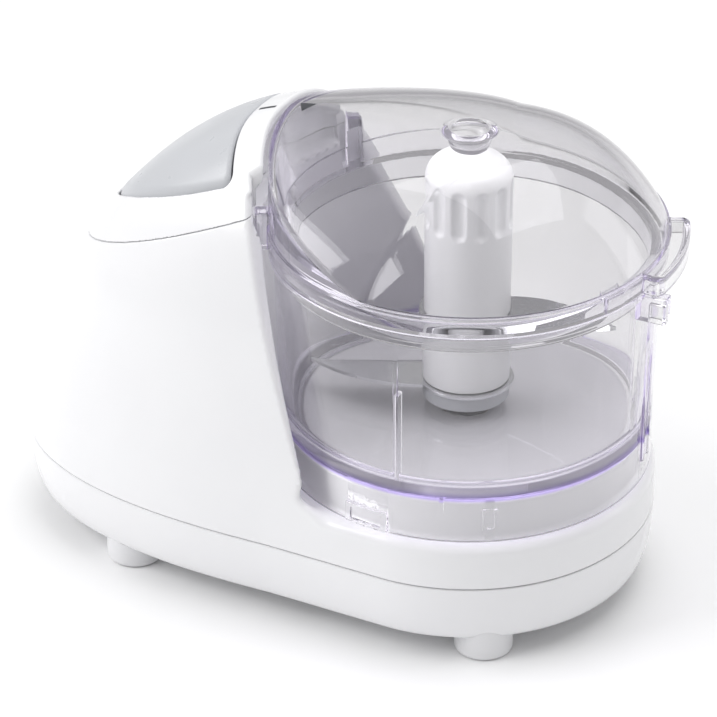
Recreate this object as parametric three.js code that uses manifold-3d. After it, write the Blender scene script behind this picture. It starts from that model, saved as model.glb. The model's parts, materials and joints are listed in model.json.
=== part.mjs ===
// Mini food chopper: an egg-shaped motor tower on a round-ended base, a clear bowl that lifts off
// its seat, a clear domed lid with a drip cup, and a bladed hub driven through a belt.
// Millimetres, +Z up. Z = 0 is the surface that the feet stand on, X runs from the tower to the
// bowl, and the origin lies below the middle of the overall length.
import * as THREE from 'three';
import { mergeVertices } from 'three/addons/utils/BufferGeometryUtils.js';
import { ConvexGeometry } from 'three/addons/geometries/ConvexGeometry.js';
import { ParametricGeometry } from 'three/addons/geometries/ParametricGeometry.js';
import Module from 'manifold-3d';

const wasm = await Module();
wasm.setup();

// ---- Driving dimensions -------------------------------------------------------------------
const AXIS_X = 41.3;          // bowl and drive axis, measured from the origin
const WALL = 2.6;             // moulded casing wall
const GAP = 0.3;              // gap kept between touching pieces
const CUT = 300;              // size of the large cutting blocks

// Egg-shaped tower. X is measured from the bowl axis from here on.
const EGG = {
  centreX: -43.9,             // where the plan starts to close towards the tower end
  length: 110.1,              // from there to the tower end
  halfWidth: 60.4,
  planPower: 2.5,
  crestX: -40,                // highest point of the ridge
  crestZ: 160,
  bulgeZ: 36.8,               // height of the widest section
  ridgePower: 1.93,
  ridgeRoot: 1.71,
  flankPower: 1.6,
  flankRoot: 2.79,
};
const EGG_END_X = -22;        // the egg solid stops here, inside the bowl bay
const LEAN_X = -56.7;         // front of the tower at the height of the bowl's rim
const LEAN_SLOPE = -0.36;     // it leans back by this much per millimetre of height
const LEAN_TOP_Z = 139;       // above this the top band runs forward to the lid

// Base
const TRAY_FLOOR_Z = 8;
const SEAM_Z = 29;            // seam between the base tray and the housing
const DECK_Z = 45;
const DECK_R = 62.5;
const FOOT = { r: 9.5, x: [-101, 26.2], y: [42.4, 43.4], top: 15, stemR: 2.5, stemTop: 12 };

// Bowl bay and bowl seat
const RIM_Z = 129;            // top of the lid's rim ring
const BAY_R = 66;
const BAY_TOP_R = 65;
const SEAT_R = 56;
const SEAT_Z = 60.7;
const POCKET = { r: 71, halfWidth: 29, floorZ: 129.5, roofDrop: 4 };

// Top cover and button
const COVER_Z = 105;          // the cover's sloping edge passes through this height ...
const COVER_X = -127.5;       // ... at this X ...
const COVER_SLOPE = 0.4511;   // ... rises with this slope ...
const COVER_CROWN = 0.00112;  // ... and falls towards the flanks by this times y squared
const BUTTON = { x: -75, length: 47.5, halfWidth: 31.6, bandR: 75.4, seam: 0.6, skirt: 1.8, travel: 3 };
const BUTTON_Z = 119.4;       // lower edge of the button passes through this height ...
const BUTTON_X = -117.5;      // ... at this X ...
const BUTTON_SLOPE = 0.481;   // ... and rises with this slope
const BUTTON_SKIRT_DROP = 5;
const SPRING = { x: -88, y: 16, r: 3.4, wire: 0.45, turns: 4, low: 119.8, high: 138 };

// Bowl and lid
const BOWL = { topR: 62.3, footR: 60.3, wall: 2.2, floorZ: 61, floor: 2.2, topZ: 118.7 };
const SKIRT = { r: 61, wall: 2.2, z: 46 };
const FLANGE = { r: 64, topZ: 121.7 };
const TUBE = { inner: 6.8, outer: 8.6, topZ: 86 };
const LID = { r: 63.5, wall: 2, rimR: 64.3, rimLow: 122, plugR: 59.6, plugLow: 115 };
const HOOD_RISE = 27.3;       // lid wall height on the tower side
const HOOD_SPAN = 82.4;       // degrees either side of -X over which that wall runs out
const HOOD_SOFT = 8;          // degrees over which its peak is rounded
const HOOD_POWER = 0.775;
const CROWN = { x: 16, rise: 33, power: 2.57, root: 1.05 };
const CUP = { topR: 9.2, lowR: 6.4, wall: 1.6, lowZ: 154.2 };
const TAB = { azimuth: 29, outerR: 68, halfWidth: 3.2, lowZ: 122, topZ: 135, clear: 0.6 };
const LIP = { azimuth: 9, span: 36, r: 70.5, plate: 2.4, dropZ: 121.5, wall: 1.8 };
const RIM_STOP = { azimuth: -22, span: 7, r: 65.2, lowZ: 122.6 };
const CATCH = { x: [61, 71.4], y: [-10, -5], lowZ: 112, topZ: 121.2 };

// Drive
const MOTOR = { x: -97, r: 25, low: 49.4, high: 104, bore: 4.2 };
const SHAFT_R = 3;
const BELT = { low: 19.5, high: 25.5, thick: 2.2 };
const MOTOR_PULLEY_R = 8.5;
const DRIVEN_PULLEY_R = 34;
const PULLEY = { low: 18, high: 27, flange: 1.2 };
const SPINDLE_R = 4;
const DOG = { r: 5.4, low: 86.6, high: 102 };
const HUB = { r: 14, coreR: 12.4, crownR: 5.4, low: 66.2, shoulderZ: 147.2, topZ: 153.5, boreR: 9.2, boreZ: 87.4 };
const BLADE = { thick: 1.2, lowZ: 72, highZ: 95.6, reach: 52 };

// ---- Solid helpers ------------------------------------------------------------------------
function solid(geometry) {
  const bare = geometry.clone();
  bare.deleteAttribute('normal');
  if (bare.getAttribute('uv')) {
    bare.deleteAttribute('uv');
  }
  const merged = mergeVertices(bare, 1e-4);
  const index = merged.getIndex().array;
  const kept = [];
  for (let i = 0; i < index.length; i += 3) {
    const [a, b, c] = [index[i], index[i + 1], index[i + 2]];
    if (a !== b && b !== c && c !== a) {
      kept.push(a, b, c);
    }
  }
  return new wasm.Manifold(new wasm.Mesh({
    numProp: 3,
    vertProperties: new Float32Array(merged.getAttribute('position').array),
    triVerts: new Uint32Array(kept),
  }));
}

function toGeometry(body) {
  const mesh = body.getMesh();
  const geometry = new THREE.BufferGeometry();
  geometry.setAttribute('position', new THREE.Float32BufferAttribute(mesh.vertProperties, 3));
  geometry.setIndex(Array.from(mesh.triVerts));
  geometry.computeVertexNormals();
  return geometry;
}

const join = (first, ...rest) => rest.reduce((sum, next) => sum.add(next), first);
const cut = (first, ...rest) => rest.reduce((sum, next) => sum.subtract(next), first);

function rod(x, y, low, high, r, sides = 16) {
  const shape = new THREE.CylinderGeometry(r, r, high - low, sides);
  shape.rotateX(Math.PI / 2);
  shape.translate(x, y, (low + high) / 2);
  return solid(shape);
}

function block(x0, x1, y0, y1, z0, z1) {
  const shape = new THREE.BoxGeometry(x1 - x0, y1 - y0, z1 - z0);
  shape.translate((x0 + x1) / 2, (y0 + y1) / 2, (z0 + z1) / 2);
  return solid(shape);
}

// A turned body from [radius, height] points, closed from axis to axis or on itself.
function turned(points, sides = 64) {
  const shape = new THREE.LatheGeometry(points.map(([r, z]) => new THREE.Vector2(r, z)), sides);
  shape.rotateX(Math.PI / 2);
  return solid(shape);
}

function ring(inner, outer, low, high, sides = 32) {
  return turned([[inner, low], [outer, low], [outer, high], [inner, high], [inner, low]], sides);
}

// A flat outline raised between two heights.
function slab(points, low, high) {
  const outline = new THREE.Shape(points.map(([x, y]) => new THREE.Vector2(x, y)));
  const shape = new THREE.ExtrudeGeometry(outline, { depth: high - low, bevelEnabled: false });
  shape.translate(0, 0, low);
  return solid(shape);
}

// A side-view outline of [x, z] points carried across the full width.
function profileBlock(points, halfWidth = CUT / 2) {
  const outline = new THREE.Shape(points.map(([x, z]) => new THREE.Vector2(x, z)));
  const options = { depth: 2 * halfWidth, bevelEnabled: false };
  const shape = new THREE.ExtrudeGeometry(outline, options);
  shape.rotateX(Math.PI / 2);
  shape.translate(0, halfWidth, 0);
  return solid(shape);
}

// A ring sector about the bowl axis, centred on an azimuth in degrees.
function sector(inner, outer, azimuth, span, low, high, steps = 8) {
  const points = [];
  for (let i = 0; i <= steps; i += 1) {
    const a = THREE.MathUtils.degToRad(azimuth - span / 2 + (span * i) / steps);
    points.push([outer * Math.cos(a), outer * Math.sin(a)]);
  }
  for (let i = steps; i >= 0; i -= 1) {
    const a = THREE.MathUtils.degToRad(azimuth - span / 2 + (span * i) / steps);
    points.push([inner * Math.cos(a), inner * Math.sin(a)]);
  }
  return slab(points, low, high);
}

// A block standing radially at an azimuth in degrees.
function radialBlock(azimuth, inner, outer, halfWidth, low, high) {
  const shape = new THREE.BoxGeometry(outer - inner, 2 * halfWidth, high - low);
  shape.translate((inner + outer) / 2, 0, (low + high) / 2);
  shape.rotateZ(THREE.MathUtils.degToRad(azimuth));
  return solid(shape);
}

// ---- Egg and base outlines ----------------------------------------------------------------
function eggHalfWidth(x, inset) {
  const t = Math.max(0, (EGG.centreX - x) / (EGG.length - inset));
  return (EGG.halfWidth - inset) * Math.max(0, 1 - t ** EGG.planPower) ** (1 / EGG.planPower);
}

function eggRidge(x, inset) {
  const end = EGG.centreX - EGG.length + inset;
  const t = THREE.MathUtils.clamp((EGG.crestX - x) / (EGG.crestX - end), 0, 1);
  const rise = EGG.crestZ - inset - EGG.bulgeZ;
  return EGG.bulgeZ + rise * (1 - t ** EGG.ridgePower) ** (1 / EGG.ridgeRoot);
}

// Points along X, closer together at the blunt tower end.
function eggStations(inset, count) {
  const end = EGG.centreX - EGG.length + inset;
  const stations = [];
  for (let i = 0; i <= count; i += 1) {
    stations.push(end + (EGG_END_X - end) * (1 - Math.cos((Math.PI / 2) * (i / count))));
  }
  return stations;
}

function eggBody(inset, low, stations = 10, arch = 14) {
  const points = [];
  for (const x of eggStations(inset, stations)) {
    const half = eggHalfWidth(x, inset);
    const ridge = eggRidge(x, inset);
    for (let j = 0; j <= arch; j += 1) {
      const phi = (Math.PI * j) / arch;
      const side = Math.cos(phi);
      const y = half * Math.sign(side) * Math.abs(side) ** (2 / EGG.flankRoot);
      const z = EGG.bulgeZ + (ridge - EGG.bulgeZ) * Math.sin(phi) ** (2 / EGG.flankPower);
      points.push(new THREE.Vector3(x, y, z));
    }
    points.push(new THREE.Vector3(x, half, low));
    points.push(new THREE.Vector3(x, -half, low));
  }
  return solid(new ConvexGeometry(points));
}

// Plan outline of the whole base: egg end at -X, round bowl end at +X.
function baseOutline(inset, tower = 9, round = 10) {
  const side = [];
  const end = EGG.centreX - EGG.length + inset;
  for (let i = 0; i <= tower; i += 1) {
    const x = end + (EGG.centreX - end) * (1 - Math.cos((Math.PI / 2) * (i / tower)));
    side.push([x, eggHalfWidth(x, inset)]);
  }
  for (let i = 0; i <= round; i += 1) {
    const a = (Math.PI / 2) * (1 - i / round);
    side.push([(DECK_R - inset) * Math.cos(a), (DECK_R - inset) * Math.sin(a)]);
  }
  const back = side.slice(1, -1).reverse().map(([x, y]) => [x, -y]);
  return side.concat(back);
}

// A convex body through base outlines given as [inset, height] levels.
function baseBody(levels) {
  const points = [];
  for (const [inset, z] of levels) {
    for (const [x, y] of baseOutline(inset)) {
      points.push(new THREE.Vector3(x, y, z));
    }
  }
  return solid(new ConvexGeometry(points));
}

// ---- Casing -------------------------------------------------------------------------------
const leanX = (z) => LEAN_X + LEAN_SLOPE * (z - RIM_Z);
const coverZ = (x) => COVER_Z + COVER_SLOPE * (x - COVER_X);
const buttonZ = (x) => BUTTON_Z + BUTTON_SLOPE * (x - BUTTON_X);

// Everything in front of the tower's leaning face.
function leanCut(back) {
  return profileBlock([
    [leanX(DECK_Z - CUT / 10) - back, DECK_Z - CUT / 10],
    [CUT, DECK_Z - CUT / 10],
    [CUT, LEAN_TOP_Z + 2.5],
    [leanX(LEAN_TOP_Z) + 4.3, LEAN_TOP_Z + 2.5],
    [leanX(LEAN_TOP_Z) - back, LEAN_TOP_Z],
  ]);
}

function pocketCut(grow) {
  const width = POCKET.halfWidth + grow;
  const wedge = block(-CUT, 0, -width, width, POCKET.floorZ - grow, CUT);
  const well = rod(0, 0, POCKET.floorZ - grow - 1, CUT, POCKET.r + grow, 32);
  return wedge.intersect(well).intersect(eggBody(POCKET.roofDrop - grow, SEAM_Z));
}

function tabSlots(grow) {
  const slots = [180 + TAB.azimuth, 180 - TAB.azimuth].map((azimuth) => radialBlock(
    azimuth,
    BAY_R - 8,
    TAB.outerR + TAB.clear + grow,
    TAB.halfWidth + TAB.clear + grow,
    TAB.lowZ - 1 - grow,
    CUT,
  ));
  return join(...slots);
}

function towerBody(inset) {
  const bay = join(
    rod(0, 0, DECK_Z - CUT / 10 + 1, POCKET.floorZ - 1, BAY_R + inset, 32),
    rod(0, 0, POCKET.floorZ - 2, CUT, BAY_TOP_R + inset, 32),
  );
  return cut(eggBody(inset, SEAM_Z - (inset > 0 ? 1 : 0)), leanCut(inset), bay);
}

const deckOuter = baseBody([
  [0, SEAM_Z + GAP],
  [0, DECK_Z - 4.5],
  [0.8, DECK_Z - 2],
  [2, DECK_Z - 0.6],
  [4, DECK_Z],
]);
const deckInner = baseBody([[WALL, SEAM_Z - 1], [WALL, DECK_Z - WALL - 2], [WALL + 3, DECK_Z - WALL]]);
const seatOuter = rod(0, 0, DECK_Z - 1, SEAT_Z, SEAT_R, 32);
const seatInner = rod(0, 0, SEAM_Z, SEAT_Z - WALL, SEAT_R - WALL, 32);
const bushSocket = rod(0, 0, SEAT_Z - 12, SEAT_Z, 10.5, 32);
const bushHole = rod(0, 0, SEAM_Z, CUT, 8.3, 32);
const plinth = join(deckOuter, seatOuter);
const aboveSeam = block(-CUT, CUT, -CUT, CUT, SEAM_Z + GAP, CUT);

const PIN = { x: -65, r: 2, z: 123, tail: -74, collarR: 3.2 };
const pinHole = rod(0, 0, -12, 12, PIN.r + 0.4, 16).rotate([0, 90, 0]).translate([-70, 0, PIN.z]);
const casingOuter = join(cut(towerBody(0), pocketCut(0), tabSlots(0)), plinth);
const casingInner = join(
  cut(towerBody(WALL), pocketCut(WALL), tabSlots(WALL)),
  deckInner,
  seatInner,
);
const casing = cut(casingOuter.intersect(aboveSeam), casingInner);

// Everything below the cover's seam, which is straight along X and crowned along Y.
function belowCover(lift, strips = 16) {
  const points = [];
  for (let i = 0; i <= strips; i += 1) {
    const y = (CUT / 4) * ((2 * i) / strips - 1);
    for (const x of [-CUT, CUT]) {
      points.push(new THREE.Vector3(x, y, coverZ(x) - COVER_CROWN * y * y + lift));
      points.push(new THREE.Vector3(x, y, -CUT));
    }
  }
  return solid(new ConvexGeometry(points));
}

// Screw towers stand on the tray floor under bosses of the housing.
const SCREWS = [[-126, 30], [-126, -30], [-36, 50], [-36, -50]];
const SCREW = { shankR: 1.5, headR: 3.2, headLow: 9.2, headHigh: 11.4, high: 40 };
const bosses = SCREWS.map(([x, y]) => join(
  rod(x, y, SEAM_Z + GAP, DECK_Z - 1, 4, 16),
  block(x - 1, x + 1, Math.min(y, 2 * y), Math.max(y, 2 * y), SEAM_Z + GAP, DECK_Z - 1),
));
const bossHoles = SCREWS.map(([x, y]) => rod(x, y, SEAM_Z, SCREW.high + 1, SCREW.shankR + GAP));
const INLET = { x: -92, y: 58.4, z: 38, bore: 2.6, r: 5, depth: 7 };
const inletHole = rod(0, 0, -20, 20, INLET.r + GAP, 24)
  .rotate([90, 0, 0])
  .translate([INLET.x, INLET.y, INLET.z]);

const housingShell = casing.intersect(belowCover(0));
const mainHousing = cut(
  join(housingShell, bushSocket, ...bosses.map((boss) => boss.intersect(casingOuter))),
  bushHole,
  pinHole,
  inletHole,
  ...bossHoles,
);

// ---- Button, its well and the top cover ---------------------------------------------------
function buttonOutline(grow, steps = 20) {
  const half = BUTTON.halfWidth + grow;
  const points = [];
  for (let i = 0; i <= steps; i += 1) {
    const a = Math.PI / 2 + (Math.PI * i) / steps;
    points.push([
      BUTTON.x + (BUTTON.length + grow) * Math.cos(a),
      half * Math.sin(a),
    ]);
  }
  const bandR = BUTTON.bandR - grow;
  const reach = Math.asin(half / bandR);
  for (let i = 0; i <= 10; i += 1) {
    const a = Math.PI + reach - (2 * reach * i) / 10;
    points.push([bandR * Math.cos(a), bandR * Math.sin(a)]);
  }
  return points;
}

const buttonPrism = (grow) => slab(buttonOutline(grow), SEAM_Z, CUT);
const buttonBlock = (drop) => profileBlock([
  [-CUT, buttonZ(-CUT) - drop],
  [CUT, buttonZ(CUT) - drop],
  [CUT, 3 * CUT],
  [-CUT, 3 * CUT],
]);

const wellRing = cut(buttonPrism(BUTTON.seam + 1.6), buttonPrism(BUTTON.seam))
  .intersect(eggBody(1, SEAM_Z))
  .intersect(buttonBlock(BUTTON_SKIRT_DROP + 2))
  .intersect(cut(casingOuter, plinth));
const MARK = { x: [-73.3, -66.9], y: -1.2, halfWidth: 0.95, depth: 0.5 };
const markPocket = block(
  MARK.x[0],
  MARK.x[1],
  MARK.y - MARK.halfWidth,
  MARK.y + MARK.halfWidth,
  120,
  CUT,
);
const markBody = (inset, drop) => cut(eggBody(inset, SEAM_Z), eggBody(drop, SEAM_Z));
const topCover = cut(
  join(casing, wellRing),
  belowCover(GAP),
  buttonPrism(BUTTON.seam),
  markPocket.intersect(markBody(-1, MARK.depth)),
);
const lineMark = block(
  MARK.x[0] + 0.15,
  MARK.x[1] - 0.15,
  MARK.y - MARK.halfWidth + 0.15,
  MARK.y + MARK.halfWidth - 0.15,
  120,
  CUT,
).intersect(markBody(0, MARK.depth - 0.15));

const buttonCap = buttonPrism(0).intersect(markBody(0, WALL));
const buttonSkirt = cut(buttonPrism(0), buttonPrism(-BUTTON.skirt))
  .intersect(eggBody(0.5, SEAM_Z))
  .intersect(buttonBlock(BUTTON_SKIRT_DROP));
const buttonInside = eggBody(1, SEAM_Z);
const springPosts = [-1, 1].map((side) => (
  rod(SPRING.x, side * SPRING.y, SPRING.high - 6, CUT, 1.8, 16).intersect(buttonInside)
));
const springPads = [-1, 1].map((side) => (
  rod(SPRING.x, side * SPRING.y, SPRING.high + GAP, CUT, 4.5, 24).intersect(buttonInside)
));
const SWITCH = { x: [-101, -87], halfWidth: 5, low: 119.7, high: 126.6 };
const STEM = { x: -94, r: 3.5, clear: BUTTON.travel + GAP };
const buttonStem = rod(STEM.x, 0, SWITCH.high + STEM.clear, CUT, STEM.r, 20)
  .intersect(buttonInside);
const powerButton = join(buttonCap, buttonSkirt, buttonStem, ...springPosts, ...springPads);

// A compression spring: round wire swept along a helix.
class Helix extends THREE.Curve {
  constructor(x, y, r, low, high, turns) {
    super();
    Object.assign(this, { x, y, r, low, high, turns });
  }

  getPoint(t, target = new THREE.Vector3()) {
    const a = 2 * Math.PI * this.turns * t;
    const z = this.low + (this.high - this.low) * t;
    return target.set(this.x + this.r * Math.cos(a), this.y + this.r * Math.sin(a), z);
  }
}

function coilSpring(x, y, r, wire, low, high, turns) {
  const section = new THREE.Shape();
  section.absarc(0, 0, wire, 0, 2 * Math.PI);
  const path = new Helix(x, y, r, low + wire, high - wire, turns);
  return new THREE.ExtrudeGeometry(section, {
    steps: turns * 10,
    curveSegments: 2,
    extrudePath: path,
    bevelEnabled: false,
  });
}

// ---- Inside of the tower ------------------------------------------------------------------
const CARRIER = { x: [-103, -71], halfWidth: 23, low: 117.4, high: 119.4, postY: 16 };
const switchCarrier = join(
  block(CARRIER.x[0], CARRIER.x[1], -CARRIER.halfWidth, CARRIER.halfWidth, CARRIER.low, CARRIER.high),
  rod(MOTOR.x, CARRIER.postY, MOTOR.high + GAP, CARRIER.low + 1, 3),
  rod(MOTOR.x, -CARRIER.postY, MOTOR.high + GAP, CARRIER.low + 1, 3),
);
const powerSwitch = join(
  block(SWITCH.x[0], SWITCH.x[1], -SWITCH.halfWidth, SWITCH.halfWidth, SWITCH.low, SWITCH.high - 2),
  block(STEM.x - 2, STEM.x + 2, -2, 2, SWITCH.low + 1, SWITCH.high),
);
const interlockPin = join(
  rod(0, 0, PIN.tail, PIN.x, PIN.r, 20),
  rod(0, 0, PIN.tail, PIN.tail + 1.5, PIN.collarR, 20),
).rotate([0, 90, 0]).translate([0, 0, PIN.z]);
const LOCK_SWITCH = { x: [-84.5, -79], halfWidth: 7, high: 127, plunger: 2 };
const interlockSwitch = join(
  block(
    ...LOCK_SWITCH.x,
    -LOCK_SWITCH.halfWidth,
    LOCK_SWITCH.halfWidth,
    CARRIER.high + GAP,
    LOCK_SWITCH.high,
  ),
  block(
    LOCK_SWITCH.x[1] - 0.5,
    LOCK_SWITCH.x[1] + LOCK_SWITCH.plunger,
    -1.5,
    1.5,
    PIN.z - 1.5,
    PIN.z + 1.5,
  ),
);

const motorCan = cut(
  join(
    rod(MOTOR.x, 0, MOTOR.low, MOTOR.high - 8, MOTOR.r, 32),
    rod(MOTOR.x, 0, MOTOR.high - 9, MOTOR.high, MOTOR.r - 3, 32),
    block(MOTOR.x - 4, MOTOR.x + 4, -MOTOR.r - 3, MOTOR.r + 3, MOTOR.low, MOTOR.low + 3),
  ),
  rod(MOTOR.x, 0, 0, CUT, MOTOR.bore, 24),
  rod(MOTOR.x, 0, MOTOR.low + 7, MOTOR.high - 9, MOTOR.r - 10, 24),
);
const motorShaft = join(
  rod(MOTOR.x, 0, PULLEY.low - 1, MOTOR.high + 1, SHAFT_R, 20),
  rod(MOTOR.x, 0, MOTOR.low + 6, MOTOR.high - 6, SHAFT_R + 0.6, 20),
);
const BRACKET = { x: [-120, -72], halfWidth: 26, thick: 3, legR: 3.2, legInset: 6, hole: 6 };
const LEGS = BRACKET.x.flatMap((x, i) => [-1, 1].map((side) => [
  x + (i === 0 ? 1 : -1) * BRACKET.legInset,
  side * (BRACKET.halfWidth - BRACKET.legInset),
]));
const bracketTop = MOTOR.low - GAP;
const motorBracket = cut(
  join(
    block(
      ...BRACKET.x,
      -BRACKET.halfWidth,
      BRACKET.halfWidth,
      bracketTop - BRACKET.thick,
      bracketTop,
    ),
    ...LEGS.map(([x, y]) => (
      rod(x, y, TRAY_FLOOR_Z + WALL + GAP, bracketTop - 1.7, BRACKET.legR)
    )),
  ),
  rod(MOTOR.x, 0, 0, CUT, BRACKET.hole, 24),
);

function pulley(x, r, bore) {
  const body = join(
    rod(x, 0, PULLEY.low, PULLEY.high, r - 0.3, 28),
    rod(x, 0, PULLEY.low, PULLEY.low + PULLEY.flange, r + 2.6, 28),
    rod(x, 0, PULLEY.high - PULLEY.flange, PULLEY.high, r + 2.6, 28),
  );
  const web = r > 20 ? [-1, 1].map((side) => {
    const middle = (PULLEY.low + PULLEY.high) / 2;
    const recess = ring(bore + 6, r - 5, middle + side * 4.5 - 3, middle + side * 4.5 + 3, 28);
    return recess.translate([x, 0, 0]);
  }) : [];
  return cut(body, rod(x, 0, 0, CUT, bore + GAP, 20), ...web);
}

const beltRun = (grow) => {
  const points = [];
  for (let i = 0; i <= 28; i += 1) {
    const a = -Math.PI / 2 + (Math.PI * i) / 28;
    for (const z of [BELT.low, BELT.high]) {
      const big = DRIVEN_PULLEY_R + grow;
      const small = MOTOR_PULLEY_R + grow;
      points.push(new THREE.Vector3(big * Math.cos(a), big * Math.sin(a), z));
      points.push(new THREE.Vector3(-big * 0.26, big * 0.966 * Math.sign(a || 1), z));
      points.push(new THREE.Vector3(MOTOR.x - small * Math.cos(a), small * Math.sin(a), z));
    }
  }
  return solid(new ConvexGeometry(points));
};
const beltHole = beltRun(0.1).scale([1, 1, 3]).translate([0, 0, -BELT.low * 2 - 8]);
const driveBelt = cut(beltRun(BELT.thick), beltHole);

const driveSpindle = join(
  rod(0, 0, 13.2, TUBE.topZ + 0.3, SPINDLE_R, 24),
  rod(0, 0, PULLEY.low - 3, PULLEY.low - GAP, SPINDLE_R + 2, 24),
  rod(0, 0, TUBE.topZ, DOG.high - 1.5, SPINDLE_R - 1, 24),
);
const driveDog = cut(
  rod(0, 0, DOG.low, DOG.high, DOG.r, 6),
  rod(0, 0, 0, DOG.high - 1, SPINDLE_R - 1 + GAP, 24),
);
const lowerBush = ring(SPINDLE_R + 0.08, 6.5, TRAY_FLOOR_Z + WALL + GAP, PULLEY.low - 3.3, 20);
const upperBush = join(
  ring(SPINDLE_R + 0.08, 8, SEAT_Z - 14, SEAT_Z - 1, 20),
  ring(SPINDLE_R + 0.08, 9.6, SEAT_Z - 14.2, SEAT_Z - 12.3, 20),
);
const spindleSeal = ring(SPINDLE_R + 0.1, 8, SEAT_Z - 0.7, SEAT_Z + 0.1, 20);

// Circuit board with a relay, a film capacitor and a round capacitor lying on its side.
const BOARD = { x: [-131.8, -130.2], halfWidth: 18, low: 38, high: 78 };
const boardFace = BOARD.x[1] - 0.1;
const circuitBoard = join(
  block(...BOARD.x, -BOARD.halfWidth, BOARD.halfWidth, BOARD.low, BOARD.high),
  block(boardFace, boardFace + 5.3, -14, -4, BOARD.low + 4, BOARD.low + 18),
  block(boardFace, boardFace + 6.8, 3, 12, BOARD.low + 6, BOARD.low + 22),
  rod(0, 0, 0, 7, 4.5, 16).rotate([0, 90, 0]).translate([boardFace, -9, BOARD.high - 10]),
);

const cordInlet = turned([
  [INLET.bore, -INLET.depth],
  [INLET.r, -INLET.depth],
  [INLET.r, -0.4],
  [INLET.r + 1.6, 0],
  [INLET.r + 1.6, 1.6],
  [INLET.r + 0.8, 2.4],
  [INLET.bore, 2.4],
  [INLET.bore, -INLET.depth],
], 28);

// ---- Base tray, feet and screws -----------------------------------------------------------
const trayOuter = baseBody([[0, SEAM_Z], [0.5, 20], [1.6, 13.5], [3, 9.8], [5, TRAY_FLOOR_Z]]);
const trayInner = baseBody([
  [WALL, SEAM_Z + 1],
  [WALL + 0.5, 20],
  [WALL + 1.6, 14.6],
  [WALL + 4, TRAY_FLOOR_Z + WALL],
]);
const screwTowers = SCREWS.map(([x, y]) => rod(x, y, TRAY_FLOOR_Z, SEAM_Z, 5));
const footSpots = [];
FOOT.x.forEach((x, i) => {
  footSpots.push([x, -FOOT.y[i]], [x, FOOT.y[i]]);
});
const baseTray = cut(
  join(cut(trayOuter, trayInner), ...screwTowers.map((tower) => tower.intersect(trayOuter))),
  ...SCREWS.map(([x, y]) => rod(x, y, 0, CUT, SCREW.shankR + GAP)),
  ...SCREWS.map(([x, y]) => rod(x, y, 0, SCREW.headHigh + GAP, SCREW.headR + GAP)),
  ...footSpots.map(([x, y]) => rod(x, y, 0, CUT, FOOT.stemR + GAP)),
);

function foot([x, y]) {
  const pad = [[0, 0], [FOOT.r - 1.2, 0], [FOOT.r, 1.2], [FOOT.r, FOOT.top], [0, FOOT.top]];
  const stem = rod(x, y, 1, FOOT.stemTop, FOOT.stemR, 20);
  return join(
    cut(turned(pad, 20).translate([x, y, 0]), trayOuter.translate([0, 0, -GAP])),
    stem,
  );
}

function screw([x, y]) {
  const shank = rod(x, y, SCREW.headHigh - 0.5, SCREW.high, SCREW.shankR, 10);
  const head = rod(x, y, SCREW.headLow, SCREW.headHigh, SCREW.headR, 16);
  const slot = block(x - 4, x + 4, y - 0.4, y + 0.4, SCREW.headLow - 1, SCREW.headLow + 0.8);
  return cut(join(shank, head), slot);
}

// ---- Bowl ---------------------------------------------------------------------------------
const floorTop = BOWL.floorZ + BOWL.floor;
const bowlShell = turned([
  [TUBE.inner, BOWL.floorZ],
  [SKIRT.r - SKIRT.wall, BOWL.floorZ],
  [SKIRT.r - SKIRT.wall, SKIRT.z],
  [SKIRT.r, SKIRT.z],
  [BOWL.footR + 0.3, floorTop],
  [BOWL.topR, BOWL.topZ],
  [FLANGE.r, BOWL.topZ + 0.4],
  [FLANGE.r, FLANGE.topZ],
  [BOWL.topR - BOWL.wall + 0.4, FLANGE.topZ],
  [BOWL.topR - BOWL.wall, BOWL.topZ - 3],
  [BOWL.footR - BOWL.wall, floorTop + 4],
  [BOWL.footR - BOWL.wall - 4, floorTop],
  [TUBE.outer + 0.6, floorTop],
  [TUBE.outer, floorTop + 1],
  [TUBE.outer - 0.4, TUBE.topZ],
  [TUBE.inner, TUBE.topZ],
  [TUBE.inner, BOWL.floorZ],
], 48);
const bowl = join(
  bowlShell,
  radialBlock(-88, BOWL.footR - BOWL.wall - 2.2, BOWL.footR - 1, 1, floorTop + 2, 97),
  radialBlock(1, BOWL.footR - 0.6, BOWL.footR + 1.2, 3.4, 66, 95),
  block(...CATCH.x, ...CATCH.y, CATCH.lowZ, CATCH.topZ),
  sector(SKIRT.r - 1, SKIRT.r + 0.9, -97, 14, SKIRT.z + 1, SKIRT.z + 8),
  radialBlock(-59, SKIRT.r - 1, SKIRT.r + 0.7, 2.4, SKIRT.z + 2, SKIRT.z + 9),
);

// ---- Lid ----------------------------------------------------------------------------------
function hoodRise(azimuth) {
  const away = 180 - Math.abs(azimuth);
  const soft = (d) => Math.sqrt(d * d + HOOD_SOFT * HOOD_SOFT) - HOOD_SOFT;
  const run = Math.min(1, soft(away) / soft(HOOD_SPAN));
  return HOOD_RISE * (1 - run) ** HOOD_POWER;
}

// The dome as a filled body: out along the bottom, up the wall and over to the crown.
function domeBody(inset, low, around = 36, over = 7) {
  const radius = LID.r - inset;
  const place = (u, v, target) => {
    const a = 2 * Math.PI * u - Math.PI;
    const edgeX = radius * Math.cos(a);
    const edgeY = radius * Math.sin(a);
    const rise = Math.max(0.8, hoodRise(THREE.MathUtils.radToDeg(a)));
    const step = v * (over + 2);
    if (step <= 1) {
      target.set(edgeX * step, edgeY * step, low);
      return;
    }
    const s = step <= 2 ? 1 : Math.cos((Math.PI / 2) * ((step - 2) / over));
    const swell = (1 - s ** CROWN.power) ** (1 / CROWN.root);
    const top = RIM_Z - inset + rise + (CROWN.rise - rise) * swell;
    target.set(CROWN.x * (1 - s) + edgeX * s, edgeY * s, top);
  };
  return solid(new ParametricGeometry(place, around, over + 2));
}

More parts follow.
